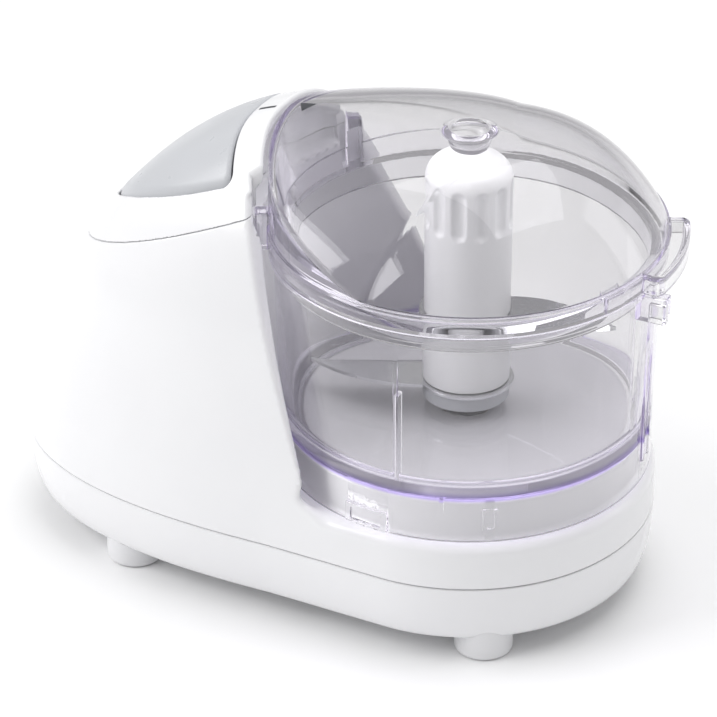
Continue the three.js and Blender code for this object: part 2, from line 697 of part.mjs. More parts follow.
const rimRing = turned([
  [LID.plugR - 1.8, LID.plugLow],
  [LID.plugR, LID.plugLow],
  [LID.plugR, LID.rimLow],
  [LID.rimR, LID.rimLow],
  [LID.rimR, RIM_Z - 0.8],
  [LID.rimR - 0.8, RIM_Z],
  [LID.r - LID.wall, RIM_Z],
  [LID.plugR - 1.8, LID.rimLow + 2],
  [LID.plugR - 1.8, LID.plugLow],
], 36);
const cupOuter = turned([[0, CUP.lowZ], [CUP.lowR, CUP.lowZ], [CUP.topR, 164], [0, 164]], 32)
  .intersect(domeBody(0.5, RIM_Z - 1));
const cupInner = turned([
  [0, CUP.lowZ + CUP.wall],
  [CUP.lowR - CUP.wall, CUP.lowZ + CUP.wall],
  [CUP.topR - CUP.wall, 170],
  [0, 170],
], 32);
const lipPlate = sector(LID.r - 1, LIP.r, LIP.azimuth, LIP.span, RIM_Z - LIP.plate, RIM_Z);
const lipSkirt = cut(
  sector(LID.r - 1, LIP.r, LIP.azimuth, LIP.span, LIP.dropZ, RIM_Z - 1),
  sector(0, LIP.r - LIP.wall, LIP.azimuth, LIP.span + 10, LIP.dropZ - 1, RIM_Z - LIP.plate),
);
const rimStop = sector(
  LID.rimR - 1,
  RIM_STOP.r,
  RIM_STOP.azimuth,
  RIM_STOP.span,
  RIM_STOP.lowZ,
  RIM_Z - 0.4,
  4,
);
const lidTabs = [180 + TAB.azimuth, 180 - TAB.azimuth].map((azimuth) => (
  radialBlock(azimuth, LID.r - 1, TAB.outerR, TAB.halfWidth, TAB.lowZ, TAB.topZ)
));
const lidBody = cut(
  join(
    cut(domeBody(0, RIM_Z - 0.5), domeBody(LID.wall, RIM_Z - 2)),
    rimRing,
    lipPlate,
    lipSkirt,
    rimStop,
    ...lidTabs,
    cupOuter,
  ),
  cupInner,
);
const ARROW = [[-59.9, 1.6], [-53.6, 1.6], [-56.6, -4.6]];
const domeSkin = (outer, inner) => cut(domeBody(outer, RIM_Z - 1), domeBody(inner, RIM_Z - 3));
const arrowPocket = slab(ARROW, RIM_Z + 5, CUT).intersect(domeSkin(-1, 0.6));
const arrowCentre = [-56.7, -0.47];
const arrowShrunk = ARROW.map(([x, y]) => [
  arrowCentre[0] + (x - arrowCentre[0]) * 0.9,
  arrowCentre[1] + (y - arrowCentre[1]) * 0.9,
]);
const arrowMark = slab(arrowShrunk, RIM_Z + 5, CUT).intersect(domeSkin(0, 0.4));
const lid = cut(lidBody, arrowPocket);

// ---- Bladed hub ---------------------------------------------------------------------------
const hubCore = turned([
  [0, HUB.low],
  [HUB.coreR, HUB.low],
  [HUB.coreR, BLADE.highZ + BLADE.thick + GAP],
  [HUB.r, BLADE.highZ + BLADE.thick + GAP],
  [HUB.r, HUB.shoulderZ - 2.6],
  [HUB.r - 0.9, HUB.shoulderZ],
  [HUB.r - 3, HUB.shoulderZ + 1.7],
  [HUB.crownR, HUB.topZ - 1],
  [HUB.crownR - 1.4, HUB.topZ],
  [0, HUB.topZ],
], 28);
const FLUTE = { count: 12, turn: 10.5, r: 3, ring: 15.7, low: 130, high: 142 };
const flutes = [];
for (let i = 0; i < FLUTE.count; i += 1) {
  const a = THREE.MathUtils.degToRad(FLUTE.turn + (360 * i) / FLUTE.count);
  const capsule = new THREE.CapsuleGeometry(FLUTE.r, FLUTE.high - FLUTE.low, 2, 10);
  capsule.rotateX(Math.PI / 2);
  capsule.translate(FLUTE.ring * Math.cos(a), FLUTE.ring * Math.sin(a), (FLUTE.low + FLUTE.high) / 2);
  flutes.push(solid(capsule));
}
const bladeHub = cut(
  hubCore,
  rod(0, 0, 0, HUB.boreZ, HUB.boreR, 32),
  rod(0, 0, 0, DOG.high + 1, DOG.r + 0.4, 6),
  ...flutes,
);
const spacerSleeve = ring(
  HUB.coreR + GAP,
  HUB.r,
  BLADE.lowZ + BLADE.thick + GAP,
  BLADE.highZ - GAP,
  28,
);
const hubNut = ring(HUB.coreR + GAP, HUB.r, HUB.low, BLADE.lowZ - GAP, 28);

// A curved chopping blade: a collar round the hub and a hooked wing, sharpened on one edge.
function blade(z, turn, reach) {
  const wing = new THREE.Shape();
  wing.moveTo(-7, 10);
  wing.lineTo(12, 4);
  wing.quadraticCurveTo(reach * 0.62, 11, reach, -6);
  wing.quadraticCurveTo(reach * 0.66, -4.5, 24, -10.5);
  wing.quadraticCurveTo(12, -14, -5, -12);
  wing.lineTo(-7, 10);
  const options = { depth: BLADE.thick, bevelEnabled: false, curveSegments: 6 };
  const plate = solid(new THREE.ExtrudeGeometry(wing, options)).translate([0, 0, z]);
  const collar = rod(0, 0, z, z + BLADE.thick, HUB.r + 1.6, 28);
  const hole = rod(0, 0, 0, CUT, HUB.coreR + GAP, 28);
  return cut(join(plate, collar), hole).rotate([0, 0, turn]);
}

const lowerBlade = blade(BLADE.lowZ, 200, BLADE.reach);
const upperBlade = blade(BLADE.highZ, 20, BLADE.reach - 4);

// ---- Scene graph --------------------------------------------------------------------------
const paint = (color, roughness, metalness = 0) => (
  new THREE.MeshStandardMaterial({ color, roughness, metalness })
);
const clearPlastic = () => new THREE.MeshStandardMaterial({
  color: 0xe9e8f4,
  roughness: 0.08,
  metalness: 0,
  transparent: true,
  opacity: 0.35,
});
const WHITE = 0xf2f2f4;
const STEEL = 0xc4c6ca;
const product = new THREE.Group();
product.position.x = AXIS_X;

function add(name, body, material) {
  const geometry = body.isBufferGeometry ? body : toGeometry(body);
  const mesh = new THREE.Mesh(geometry, material);
  mesh.name = name;
  product.add(mesh);
  return mesh;
}

add('base_tray', baseTray, paint(WHITE, 0.3));
add('main_housing', mainHousing, paint(WHITE, 0.25));
add('top_cover', topCover, paint(WHITE, 0.25));
add('power_button', powerButton, paint(0xc9cdd4, 0.35));
add('line_mark', lineMark, paint(0x4a4c52, 0.5));
['front', 'back'].forEach((side, i) => {
  const y = (i === 0 ? -1 : 1) * SPRING.y;
  const wire = SPRING.wire;
  const spring = coilSpring(SPRING.x, y, SPRING.r, wire, SPRING.low, SPRING.high, SPRING.turns);
  add(`button_spring_${side}`, spring, paint(STEEL, 0.3, 1));
});
['front_left', 'back_left', 'front_right', 'back_right'].forEach((corner, i) => {
  add(`foot_${corner}`, foot(footSpots[i]), paint(0xe6e7ea, 0.6));
});
['back_left', 'front_left', 'back_right', 'front_right'].forEach((corner, i) => {
  add(`base_screw_${corner}`, screw(SCREWS[i]), paint(STEEL, 0.35, 1));
});
add('motor', motorCan, paint(0xa9acb2, 0.4, 1));
add('motor_shaft', motorShaft, paint(STEEL, 0.25, 1));
add('motor_pulley', pulley(MOTOR.x, MOTOR_PULLEY_R, SHAFT_R), paint(0x2b2c30, 0.5));
add('motor_bracket', motorBracket, paint(0xb5b8bd, 0.45, 1));
add('drive_belt', driveBelt, paint(0x1d1d1f, 0.8));
add('driven_pulley', pulley(0, DRIVEN_PULLEY_R, SPINDLE_R), paint(0x2b2c30, 0.5));
add('drive_spindle', driveSpindle, paint(STEEL, 0.2, 1));
add('drive_dog', driveDog, paint(0xe4e5e8, 0.45));
add('lower_bush', lowerBush, paint(0xb08d57, 0.4, 1));
add('upper_bush', upperBush, paint(0xb08d57, 0.4, 1));
add('spindle_seal', spindleSeal, paint(0x55575c, 0.8));
add('switch_carrier', switchCarrier, paint(0xdadbde, 0.5));
add('power_switch', powerSwitch, paint(0x26272b, 0.5));
add('interlock_switch', interlockSwitch, paint(0x26272b, 0.5));
add('interlock_pin', interlockPin, paint(WHITE, 0.4));
add('circuit_board', circuitBoard, paint(0x2f6b45, 0.6));
const inlet = add('cord_inlet', cordInlet, paint(0xd9dadd, 0.6));
inlet.rotation.x = -Math.PI / 2;
inlet.position.set(INLET.x, INLET.y, INLET.z);
add('bowl', bowl, clearPlastic());
add('lid', lid, clearPlastic());
add('arrow_mark', arrowMark, paint(0x4a4c52, 0.5));
add('blade_hub', bladeHub, paint(0xf0f0f2, 0.45));
add('blade_spacer', spacerSleeve, paint(0xf0f0f2, 0.45));
add('hub_nut', hubNut, paint(0xe4e5e8, 0.45));
add('lower_blade', lowerBlade, paint(STEEL, 0.18, 1));
add('upper_blade', upperBlade, paint(STEEL, 0.18, 1));

const model = new THREE.Group();
model.add(product);
export default model;
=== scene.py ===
"""Looks for the mini food chopper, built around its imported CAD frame.

Shapes are worked out in millimetres from the bowl's axis, with Z = 0 on the surface that the feet
stand on, and go into the row frame in metres. Moulded pieces are level sets of distance fields,
cut along the casing's seams; turned pieces are swept profiles.
"""
import json
import math
from collections import namedtuple

import bmesh
import bpy
import numpy as np
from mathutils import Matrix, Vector


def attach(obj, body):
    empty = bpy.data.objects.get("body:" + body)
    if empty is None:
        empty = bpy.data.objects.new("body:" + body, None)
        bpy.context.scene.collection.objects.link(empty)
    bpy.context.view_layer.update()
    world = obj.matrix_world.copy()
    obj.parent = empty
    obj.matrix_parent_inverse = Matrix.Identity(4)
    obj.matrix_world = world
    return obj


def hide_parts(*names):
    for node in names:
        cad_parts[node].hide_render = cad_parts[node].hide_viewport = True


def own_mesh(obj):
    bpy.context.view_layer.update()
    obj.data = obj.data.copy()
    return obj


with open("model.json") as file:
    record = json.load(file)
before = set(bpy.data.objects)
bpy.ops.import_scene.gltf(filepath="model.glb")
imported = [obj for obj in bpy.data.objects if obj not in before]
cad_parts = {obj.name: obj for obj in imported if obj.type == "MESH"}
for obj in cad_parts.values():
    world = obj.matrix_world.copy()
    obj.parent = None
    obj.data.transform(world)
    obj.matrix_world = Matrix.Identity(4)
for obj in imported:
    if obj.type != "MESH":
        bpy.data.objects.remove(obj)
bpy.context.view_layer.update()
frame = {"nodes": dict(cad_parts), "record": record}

MM = 0.001
AXIS_X = 41.3  # the bowl's axis in the row frame

# ---- Driving dimensions, in millimetres from the bowl's axis ----
EGG_CENTRE_X = -43.9
EGG_LENGTH = 110.1
EGG_HALF = 60.4
EGG_CREST_X = -40.0
EGG_CREST_RUN = 114.0
EGG_CREST_Z = 160.0
EGG_BULGE_Z = 36.8
PLAN_POWER = 2.5
RIDGE_POWER = 1.93
RIDGE_ROOT = 1.71
FLANK_POWER = 1.6
FLANK_ROOT = 2.79

LEAN_X = -56.7
LEAN_SLOPE = -0.36
RIM_Z = 129.0
BAND_LOW_Z = 141.0

TRAY_FLOOR_Z = 8.0
TRAY_TUCK = 5.0
SEAM_Z = 29.0
SEAM_GAP = 0.3
DECK_Z = 45.0
DECK_R = 62.5
WALL = 2.6
BAY_R = 66.0
BAY_TOP_R = 65.0
SEAT_R = 56.0
SEAT_Z = 60.7
POCKET_HALF = 29.0
POCKET_R = 71.0
POCKET_FLOOR_Z = 129.5
POCKET_ROOF = 4.0

COVER_Z, COVER_X, COVER_SLOPE, COVER_CROWN = 105.0, -127.5, 0.4511, 0.00112
BUTTON_Z, BUTTON_X, BUTTON_SLOPE = 119.4, -117.5, 0.481
BUTTON_CENTRE_X = -75.0
BUTTON_LENGTH = 47.5
BUTTON_HALF = 31.6
BUTTON_BAND_R = 75.4
BUTTON_SEAM = 0.6
BUTTON_EDGE = 1.9

SCREWS = ((-126, 30), (-126, -30), (-36, 50), (-36, -50))
FEET = {
    "foot_front_left": (-101, -42.4),
    "foot_back_left": (-101, 42.4),
    "foot_front_right": (26.2, -43.4),
    "foot_back_right": (26.2, 43.4),
}
SEAM_EDGE = 0.5      # height of the small bevel along a seam ...
SEAM_BEVEL = 0.35    # ... and its depth
ON_SEAM = 0.002      # points this near a seam are on it
ROLL_OUT, ROLL_DOWN = 0.55, 0.84    # a normal on a seam's edge: so much outward, so much along Z
PROJECT_STEPS, PROJECT_REACH = 4, 0.6
LAP = 4              # how far a shell is carried past its seam before it is cut there

TOWER_RUN = (14, 34)     # the egg takes over from the base's outline between these -X ...
TOWER_RISE = (34, 50)    # ... and these heights
BAY_STEP = (128, 130)
DECK_EDGE = 4.0
BAND_EDGE, BAND_EDGE_Z = 1.5, 58
TAB_AZIMUTHS = (209, 151)
TAB_SLOT_HALF, TAB_SLOT_IN, TAB_SLOT_OUT, TAB_SLOT_LOW = 3.8, 58, 68.6, 121

SOCKET_R, SOCKET_LOW, SOCKET_CAP = 10.5, 48.7, 1.5
SHAFT_HOLE_R = 8.3
BOSS_R, BOSS_RIB_HALF, PILOT_R, PILOT_HIGH = 4, 1.2, 1.8, 41
TRAY_BOSS_R, SCREW_SINK_R, SCREW_SINK_HIGH = 5, 3.5, 11.7
PIN_Z, PIN_X, PIN_HOLE_R, PIN_HOLE_HALF = 123, -70, 2.4, 12
INLET_AT = (-92.0, 58.4, 38.0)
INLET_HOLE_R, INLET_HOLE_FROM_Y = 5.3, 34

WELL_WALL, WELL_DEPTH = 1.6, 7
BUTTON_WALL, BUTTON_DEPTH = 1.8, 5
BUTTON_STEM_X, BUTTON_STEM_R, BUTTON_STEM_LOW = -94, 3.5, 129.9
SPRING_X, SPRING_Y = -88, 16
SPRING_POST_R, SPRING_POST_LOW = 1.8, 132
SPRING_PAD_R, SPRING_PAD_LOW = 4.5, 138.3

FOOT_R, FOOT_EDGE, FOOT_HIGH, FOOT_SINK = 9.5, 1.3, 15, 0.4
FOOT_STEM_R, FOOT_STEM_LOW, FOOT_STEM_HIGH, FOOT_HOLE_R = 2.5, 2, 12, 2.8


# ---- Mesh helpers ----
def to_row(points):
    """Millimetres from the bowl's axis to metres in the row frame."""
    out = np.array(points, float)
    out[:, 0] += AXIS_X
    return out * MM


def linked(name, data):
    """A new object in the scene."""
    item = bpy.data.objects.new(name, data)
    bpy.context.scene.collection.objects.link(item)
    return item


def mesh_object(name, points, faces, normals=None):
    mesh = bpy.data.meshes.new(name)
    mesh.from_pydata(to_row(points).tolist(), [], faces)
    mesh.shade_smooth()
    mesh.update()
    if normals is not None:
        mesh.normals_split_custom_set(normals.tolist())
    return linked(name, mesh)


def closed_mesh(name, points, faces, angle=40):
    """A mesh with its faces outward, and edges sharper than the angle shown as edges."""
    piece = mesh_object(name, points, faces)
    bm = bmesh.new()
    bm.from_mesh(piece.data)
    bmesh.ops.recalc_face_normals(bm, faces=bm.faces)
    bm.to_mesh(piece.data)
    bm.free()
    piece.data.set_sharp_from_angle(angle=math.radians(angle))
    return piece


def gradient(field, p, step=0.04):
    """Central-difference gradient of a field at points p."""
    out = np.empty_like(p)
    for axis in range(3):
        ahead, behind = p.copy(), p.copy()
        ahead[:, axis] += step
        behind[:, axis] -= step
        out[:, axis] = (field(*ahead.T) - field(*behind.T)) / (2 * step)
    return out


def trim(points, faces, field, seam, side):
    """Cuts along z = seam(x, y), keeping what lies above (side 1) or below (side -1) it."""
    flat = np.array(points)
    flat[:, 2] -= seam(flat[:, 0], flat[:, 1])
    bm = bmesh.new()
    verts = [bm.verts.new(p) for p in flat.tolist()]
    for face in faces:
        bm.faces.new([verts[i] for i in face])
    for level, clear_side in ((side * SEAM_EDGE, False), (0, True)):
        bmesh.ops.bisect_plane(
            bm,
            geom=bm.verts[:] + bm.edges[:] + bm.faces[:],
            dist=ON_SEAM / 4,
            plane_co=(0, 0, level),
            plane_no=(0, 0, side),
            clear_inner=clear_side,
        )
    rim = [edge for edge in bm.edges if edge.is_boundary]
    ring = list({v for edge in rim for v in edge.verts})
    at = np.array([v.co for v in ring])
    at[:, 2] += seam(at[:, 0], at[:, 1])
    slope = gradient(field, at)[:, :2]
    slope /= np.maximum(np.linalg.norm(slope, axis=1, keepdims=True), 1e-6)
    for v, (dx, dy) in zip(ring, (slope * SEAM_BEVEL).tolist()):
        v.co.x -= dx
        v.co.y -= dy
    bmesh.ops.triangle_fill(bm, use_beauty=True, edges=rim, normal=(0, 0, 1))
    bmesh.ops.recalc_face_normals(bm, faces=bm.faces)
    bm.verts.index_update()
    points = np.array([v.co for v in bm.verts])
    points[:, 2] += seam(points[:, 0], points[:, 1])
    faces = [[v.index for v in face.verts] for face in bm.faces]
    bm.free()
    return points, faces


def corner_normals(points, faces, field, seams):
    """The field's normals, turned over at seam edges and flat across the cut faces."""
    smooth = gradient(field, points)
    smooth /= np.maximum(np.linalg.norm(smooth, axis=1, keepdims=True), 1e-9)
    corners = np.concatenate([np.asarray(face) for face in faces])
    starts = np.concatenate([[0], np.cumsum([len(face) for face in faces])[:-1]])
    sizes = np.array([len(face) for face in faces])
    normals = smooth[corners]
    for seam, side in seams:
        on = np.abs(points[:, 2] - seam(points[:, 0], points[:, 1])) < ON_SEAM
        over = smooth[corners] * ROLL_OUT + np.array((0, 0, -ROLL_DOWN * side))
        over /= np.linalg.norm(over, axis=1, keepdims=True)
        normals = np.where(on[corners][:, None], over, normals)
        whole = np.repeat(np.minimum.reduceat(on[corners].astype(int), starts), sizes)
        normals = np.where(whole[:, None] > 0, (0, 0, -side), normals)
    return normals


def level_set(name, field, box, pitch, seams=()):
    """Meshes field = 0 inside a box with a surface net, and cuts it along the seams."""
    x, y, z = np.meshgrid(*(spaced(low, high, pitch) for low, high in box), indexing="ij")
    value = field(x, y, z)
    inside = value < 0
    count = tuple(n - 1 for n in value.shape)
    corner = [(a, b, c) for a in (0, 1) for b in (0, 1) for c in (0, 1)]
    some = np.zeros(count, bool)
    every = np.ones(count, bool)
    for a, b, c in corner:
        part = inside[a:a + count[0], b:b + count[1], c:c + count[2]]
        some |= part
        every &= part
    cells = np.argwhere(some & ~every)
    ids = np.full(count, -1, np.int64)
    ids[tuple(cells.T)] = np.arange(len(cells))
    total = np.zeros((len(cells), 3))
    hits = np.zeros((len(cells), 1))
    node = np.stack([x, y, z], -1)
    for start in corner:
        for axis in range(3):
            if start[axis]:
                continue
            end = list(start)
            end[axis] = 1
            i0 = tuple((cells + start).T)
            i1 = tuple((cells + end).T)
            v0, v1 = value[i0], value[i1]
            crossing = (v0 < 0) != (v1 < 0)
            t = np.where(crossing, v0 / np.where(crossing, v0 - v1, 1), 0)[:, None]
            total += np.where(crossing[:, None], node[i0] * (1 - t) + node[i1] * t, 0)
            hits += crossing[:, None]
    points = total / hits
    faces = []
    for axis in range(3):
        u, v = (axis + 1) % 3, (axis + 2) % 3
        lower = [slice(None)] * 3
        upper = [slice(None)] * 3
        lower[axis], upper[axis] = slice(0, -1), slice(1, None)
        change = inside[tuple(lower)] != inside[tuple(upper)]
        for other in (u, v):
            edge = [slice(None)] * 3
            edge[other] = [0, -1]
            change[tuple(edge)] = False
        at = np.argwhere(change)
        ring = []
        for du, dv in ((-1, -1), (0, -1), (0, 0), (-1, 0)):
            cell = at.copy()
            cell[:, u] += du
            cell[:, v] += dv
            ring.append(ids[tuple(cell.T)])
        quad = np.stack(ring, -1)
        flip = ~inside[tuple(at.T)]
        quad[flip] = quad[flip][:, ::-1]
        faces.append(quad)
    faces = np.concatenate(faces)
    for _ in range(PROJECT_STEPS):
        slope = gradient(field, points)
        size = np.maximum((slope ** 2).sum(1), 0.05)
        move = np.clip(field(*points.T) / size, -PROJECT_REACH, PROJECT_REACH)
        points -= slope * move[:, None]
    faces = faces.tolist()
    for seam, side in seams:
        points, faces = trim(points, faces, field, seam, side)
    return mesh_object(name, points, faces, corner_normals(points, faces, field, seams))


def spaced(low, high, pitch):
    return np.linspace(low, high, max(2, round((high - low) / pitch) + 1))


# ---- Distance fields ----
def both(a, b, r=0.0):
    """Inside a and b, with an outer edge of radius r."""
    if not np.any(r):
        return np.maximum(a, b)
    corner = np.hypot(np.maximum(a + r, 0), np.maximum(b + r, 0))
    return np.minimum(np.maximum(a, b), -r) + corner


def either(a, b, r=0.0):
    """Inside a or b, with an inner fillet of radius r."""
    return -both(-a, -b, r)


def ramp(value, low, high):
    t = np.clip((value - low) / (high - low), 0, 1)
    return t * t * (3 - 2 * t)


def egg_level(x, y, z):
    plan = np.clip((EGG_CENTRE_X - x) / EGG_LENGTH, 0, None)
    run = np.clip((EGG_CREST_X - x) / EGG_CREST_RUN, 0, 0.9999)
    ridge = (1 - run ** RIDGE_POWER) ** (1 / RIDGE_ROOT)
    rise = np.clip(z - EGG_BULGE_Z, 0, None) / (EGG_CREST_Z - EGG_BULGE_Z)
    over = 1 - np.minimum(rise / np.maximum(ridge, 1e-3), 3) ** FLANK_POWER
    over = np.sign(over) * np.abs(over) ** (PLAN_POWER / FLANK_ROOT)
    room = 1 - plan ** PLAN_POWER
    across = (np.abs(y) / EGG_HALF) ** PLAN_POWER
    return across - np.where(room > 0, room * over, room)


def egg(x, y, z, step=0.4):
    """Distance to the egg, from its level function and that function's slope."""
    level = egg_level(x, y, z)
    dx = egg_level(x + step, y, z) - level
    dy = egg_level(x, np.abs(y) + step, z) - level
    dz = egg_level(x, y, z + step) - level
    slope = np.sqrt(dx * dx + dy * dy + dz * dz) / step
    return level / np.maximum(slope, 1e-3)


def plan(x, y):
    """Distance to the base's outline: egg end, straight sides, round bowl end."""
    t = np.clip((EGG_CENTRE_X - x) / EGG_LENGTH, 0, None)
    a = np.abs(y) / EGG_HALF
    gauge = np.maximum(a ** PLAN_POWER + t ** PLAN_POWER, 1e-6) ** (1 / PLAN_POWER)
    slope = np.hypot(a ** 1.5 / EGG_HALF, t ** 1.5 / EGG_LENGTH) / gauge ** 1.5
    end = (gauge - 1) / np.maximum(slope, 1e-6)
    side = np.abs(y) - EGG_HALF - (DECK_R - EGG_HALF) * (1 - x / EGG_CENTRE_X)
    far = np.hypot(x, y) - DECK_R
    return np.where(x < EGG_CENTRE_X, end, np.where(x < 0, side, far))


def rod(x, y, at, r):
    return np.hypot(x - at[0], y - at[1]) - r


def polar(x, y, azimuth):
    """(distance along an azimuth, distance across it)."""
    a = math.radians(azimuth)
    return x * math.cos(a) + y * math.sin(a), y * math.cos(a) - x * math.sin(a)


def sector(x, y, inner, outer, azimuth, half_span, r=0.6):
    """A rounded ring sector, in plan."""
    radius = np.hypot(x, y)
    turn = (np.degrees(np.arctan2(y, x)) - azimuth + 180) % 360 - 180
    across = (np.abs(turn) - half_span) * math.pi / 180 * outer
    return both(both(radius - outer, across, r), inner - radius)


def flat_seam(height):
    return lambda x, _y: height + 0 * x


def cover_seam(x, y):
    """Top edge of the housing: straight along X, falling a little towards the flanks."""
    return COVER_Z + COVER_SLOPE * (x - COVER_X) - COVER_CROWN * y * y


def cover_low_seam(x, y):
    return cover_seam(x, y) + SEAM_GAP


def button_z(x):
    return BUTTON_Z + BUTTON_SLOPE * (x - BUTTON_X)


def casing(x, y, z):
    """The whole upper casing as one solid: tower, deck and bowl seat."""
    r = np.hypot(x, y)
    on_tower = ramp(-x, *TOWER_RUN) * ramp(z, *TOWER_RISE)
    outer = plan(x, y) * (1 - on_tower) + egg(x, y, z) * on_tower
    lean = (x - LEAN_X - LEAN_SLOPE * (z - RIM_Z)) / math.hypot(1, LEAN_SLOPE)
    behind = either(lean, BAND_LOW_Z - z, 2.0)
    bay = BAY_R + (BAY_TOP_R - BAY_R) * ramp(z, *BAY_STEP)
    behind = both(behind, bay - r, 1.0)
    pocket = both(np.abs(y) - POCKET_HALF, r - POCKET_R, 2.0)
    pocket = both(pocket, POCKET_FLOOR_Z - z, 1.0)
    pocket = both(pocket, egg(x, y, z) + POCKET_ROOF, 1.5)
    behind = both(behind, -pocket, 0.9)
    for azimuth in TAB_AZIMUTHS:
        along, across = polar(x, y, azimuth)
        depth = np.maximum(along - TAB_SLOT_OUT, TAB_SLOT_IN - along)
        slot = np.maximum(np.abs(across) - TAB_SLOT_HALF, np.maximum(depth, TAB_SLOT_LOW - z))
        behind = both(behind, -slot, 0.5)
    top = either(behind, z - DECK_Z, 6.0)
    edge = DECK_EDGE - (DECK_EDGE - BAND_EDGE) * ramp(z, DECK_Z, BAND_EDGE_Z)
    body = both(outer, top, edge)
    seat = both(r - SEAT_R, z - SEAT_Z, 2.2)
    return either(body, seat, 1.4)


def main_housing(x, y, z):
    """Tower, deck and bowl seat as a shell, with bush socket, screw bosses and two holes."""
    solid = casing(x, y, z)
    shell = both(solid, -(solid + WALL))
    socket = np.maximum(SOCKET_LOW - z, z - SEAT_Z + SOCKET_CAP)
    shell = either(shell, np.maximum(rod(x, y, (0, 0), SOCKET_R), socket))
    for cx, cy in SCREWS:
        boss = both(rod(x, y, (cx, cy), BOSS_R), z - DECK_Z + 1)
        rib = np.maximum(np.abs(x - cx) - BOSS_RIB_HALF, np.abs(y - 1.5 * cy) - abs(cy) / 2)
        boss = either(boss, both(rib, z - DECK_Z + 1))
        shell = either(shell, both(boss, solid + 1))
        shell = both(shell, -both(rod(x, y, (cx, cy), PILOT_R), z - PILOT_HIGH))
    shell = both(shell, SHAFT_HOLE_R - np.hypot(x, y), 0.4)
    pin = np.maximum(np.hypot(y, z - PIN_Z) - PIN_HOLE_R, np.abs(x - PIN_X) - PIN_HOLE_HALF)
    inlet = np.hypot(x - INLET_AT[0], z - INLET_AT[2]) - INLET_HOLE_R
    shell = both(shell, -either(pin, np.maximum(inlet, INLET_HOLE_FROM_Y - y)))
    shell = both(shell, SEAM_Z - LAP - z)
    return both(shell, z - cover_seam(x, y) - LAP)


def button_plan(x, y):
    """Distance to the button's outline: half an ellipse that ends on an arc round the bowl."""
    dx, dy = (x - BUTTON_CENTRE_X) / BUTTON_LENGTH, y / BUTTON_HALF
    q = np.maximum(np.hypot(dx, dy), 1e-6)
    ellipse = q * (q - 1) / np.hypot(dx / BUTTON_LENGTH, dy / BUTTON_HALF).clip(1e-6)
    side = np.where(x < BUTTON_CENTRE_X, ellipse, np.abs(y) - BUTTON_HALF)
    return both(side, BUTTON_BAND_R - np.hypot(x, y), 3.0)


def top_cover(x, y, z):
    """The tower's cap, with a wall going down round the button's opening."""
    solid = casing(x, y, z)
    outline = button_plan(x, y)
    shell = both(solid, -(solid + WALL))
    well = both(outline - BUTTON_SEAM - WELL_WALL, solid + 1)
    well = both(well, button_z(x) - WELL_DEPTH - z)
    shell = either(shell, well)
    shell = both(shell, BUTTON_SEAM - outline, 0.8)
    return both(shell, cover_seam(x, y) - LAP - z)


def power_button(x, y, z):
    """The press panel, with a stem over the switch and a post and pad over each spring."""
    skin = egg(x, y, z)
    outline = button_plan(x, y)
    cap = both(skin, outline, BUTTON_EDGE)
    hollow = both(skin + WALL, outline + BUTTON_WALL)
    shell = both(both(cap, -hollow), button_z(x) - BUTTON_DEPTH - z)
    stem = both(rod(x, y, (BUTTON_STEM_X, 0), BUTTON_STEM_R), BUTTON_STEM_LOW - z)
    for spring in ((SPRING_X, -SPRING_Y), (SPRING_X, SPRING_Y)):
        post = both(rod(x, y, spring, SPRING_POST_R), SPRING_POST_LOW - z)
        pad = both(rod(x, y, spring, SPRING_PAD_R), SPRING_PAD_LOW - z)
        stem = either(stem, either(post, pad))
    return either(shell, both(stem, skin + 1))


def tray_solid(x, y, z):
    """The base tray's outside, whose wall tucks in along a quarter ellipse to the floor."""
    a = np.maximum(plan(x, y) + TRAY_TUCK, 0) / TRAY_TUCK
    b = np.maximum(SEAM_Z - z, 0) / (SEAM_Z - TRAY_FLOOR_Z)
    slope = np.hypot(2 * a / TRAY_TUCK, 2 * b / (SEAM_Z - TRAY_FLOOR_Z))
    return (a * a + b * b - 1) / np.maximum(slope, 1e-3)


def base_tray(x, y, z):
    """The lower casing, with screw bosses and a hole for the stem of each foot."""
    solid = tray_solid(x, y, z)
    shell = both(solid, -(solid + WALL))
    for cx, cy in SCREWS:
        shell = either(shell, both(rod(x, y, (cx, cy), TRAY_BOSS_R), solid))
        shell = both(shell, PILOT_R - np.hypot(x - cx, y - cy))
        sink = both(rod(x, y, (cx, cy), SCREW_SINK_R), z - SCREW_SINK_HIGH)
        shell = both(shell, -sink, 0.3)
    for cx, cy in FEET.values():
        shell = both(shell, FOOT_HOLE_R - np.hypot(x - cx, y - cy))
    return both(shell, z - SEAM_Z - LAP)


def foot(cx, cy):
    """A round foot, sunk a little into the tray, with a stem through the tray's floor."""
    def field(x, y, z):
        out = rod(x, y, (cx, cy), 0)
        pad = both(both(out - FOOT_R, -z, FOOT_EDGE), z - FOOT_HIGH)
        pad = both(pad, -FOOT_SINK - tray_solid(x, y, z))
        stem = both(both(out - FOOT_STEM_R, z - FOOT_STEM_HIGH, 0.4), FOOT_STEM_LOW - z)
        return either(pad, stem)
    return field


# ---- Moulded casing ----
PITCH = 1.4
FINE = 0.6

made = {}
made["main_housing"] = level_set(
    "casing_main",
    main_housing,
    ((-156, 64), (-64, 64), (22, 144)),
    PITCH,
    [(flat_seam(SEAM_Z + SEAM_GAP), 1), (cover_seam, -1)],
)
made["base_tray"] = level_set(
    "casing_tray",
    base_tray,
    ((-156, 64), (-64, 64), (6, 35)),
    PITCH,
    [(flat_seam(SEAM_Z), -1)],
)
made["top_cover"] = level_set(
    "casing_cover", top_cover, ((-132, -48), (-62, 62), (97, 161)), FINE, [(cover_low_seam, 1)],
)
made["power_button"] = level_set(
    "button_panel", power_button, ((-124, -60), (-33, 33), (113, 161)), FINE,
)


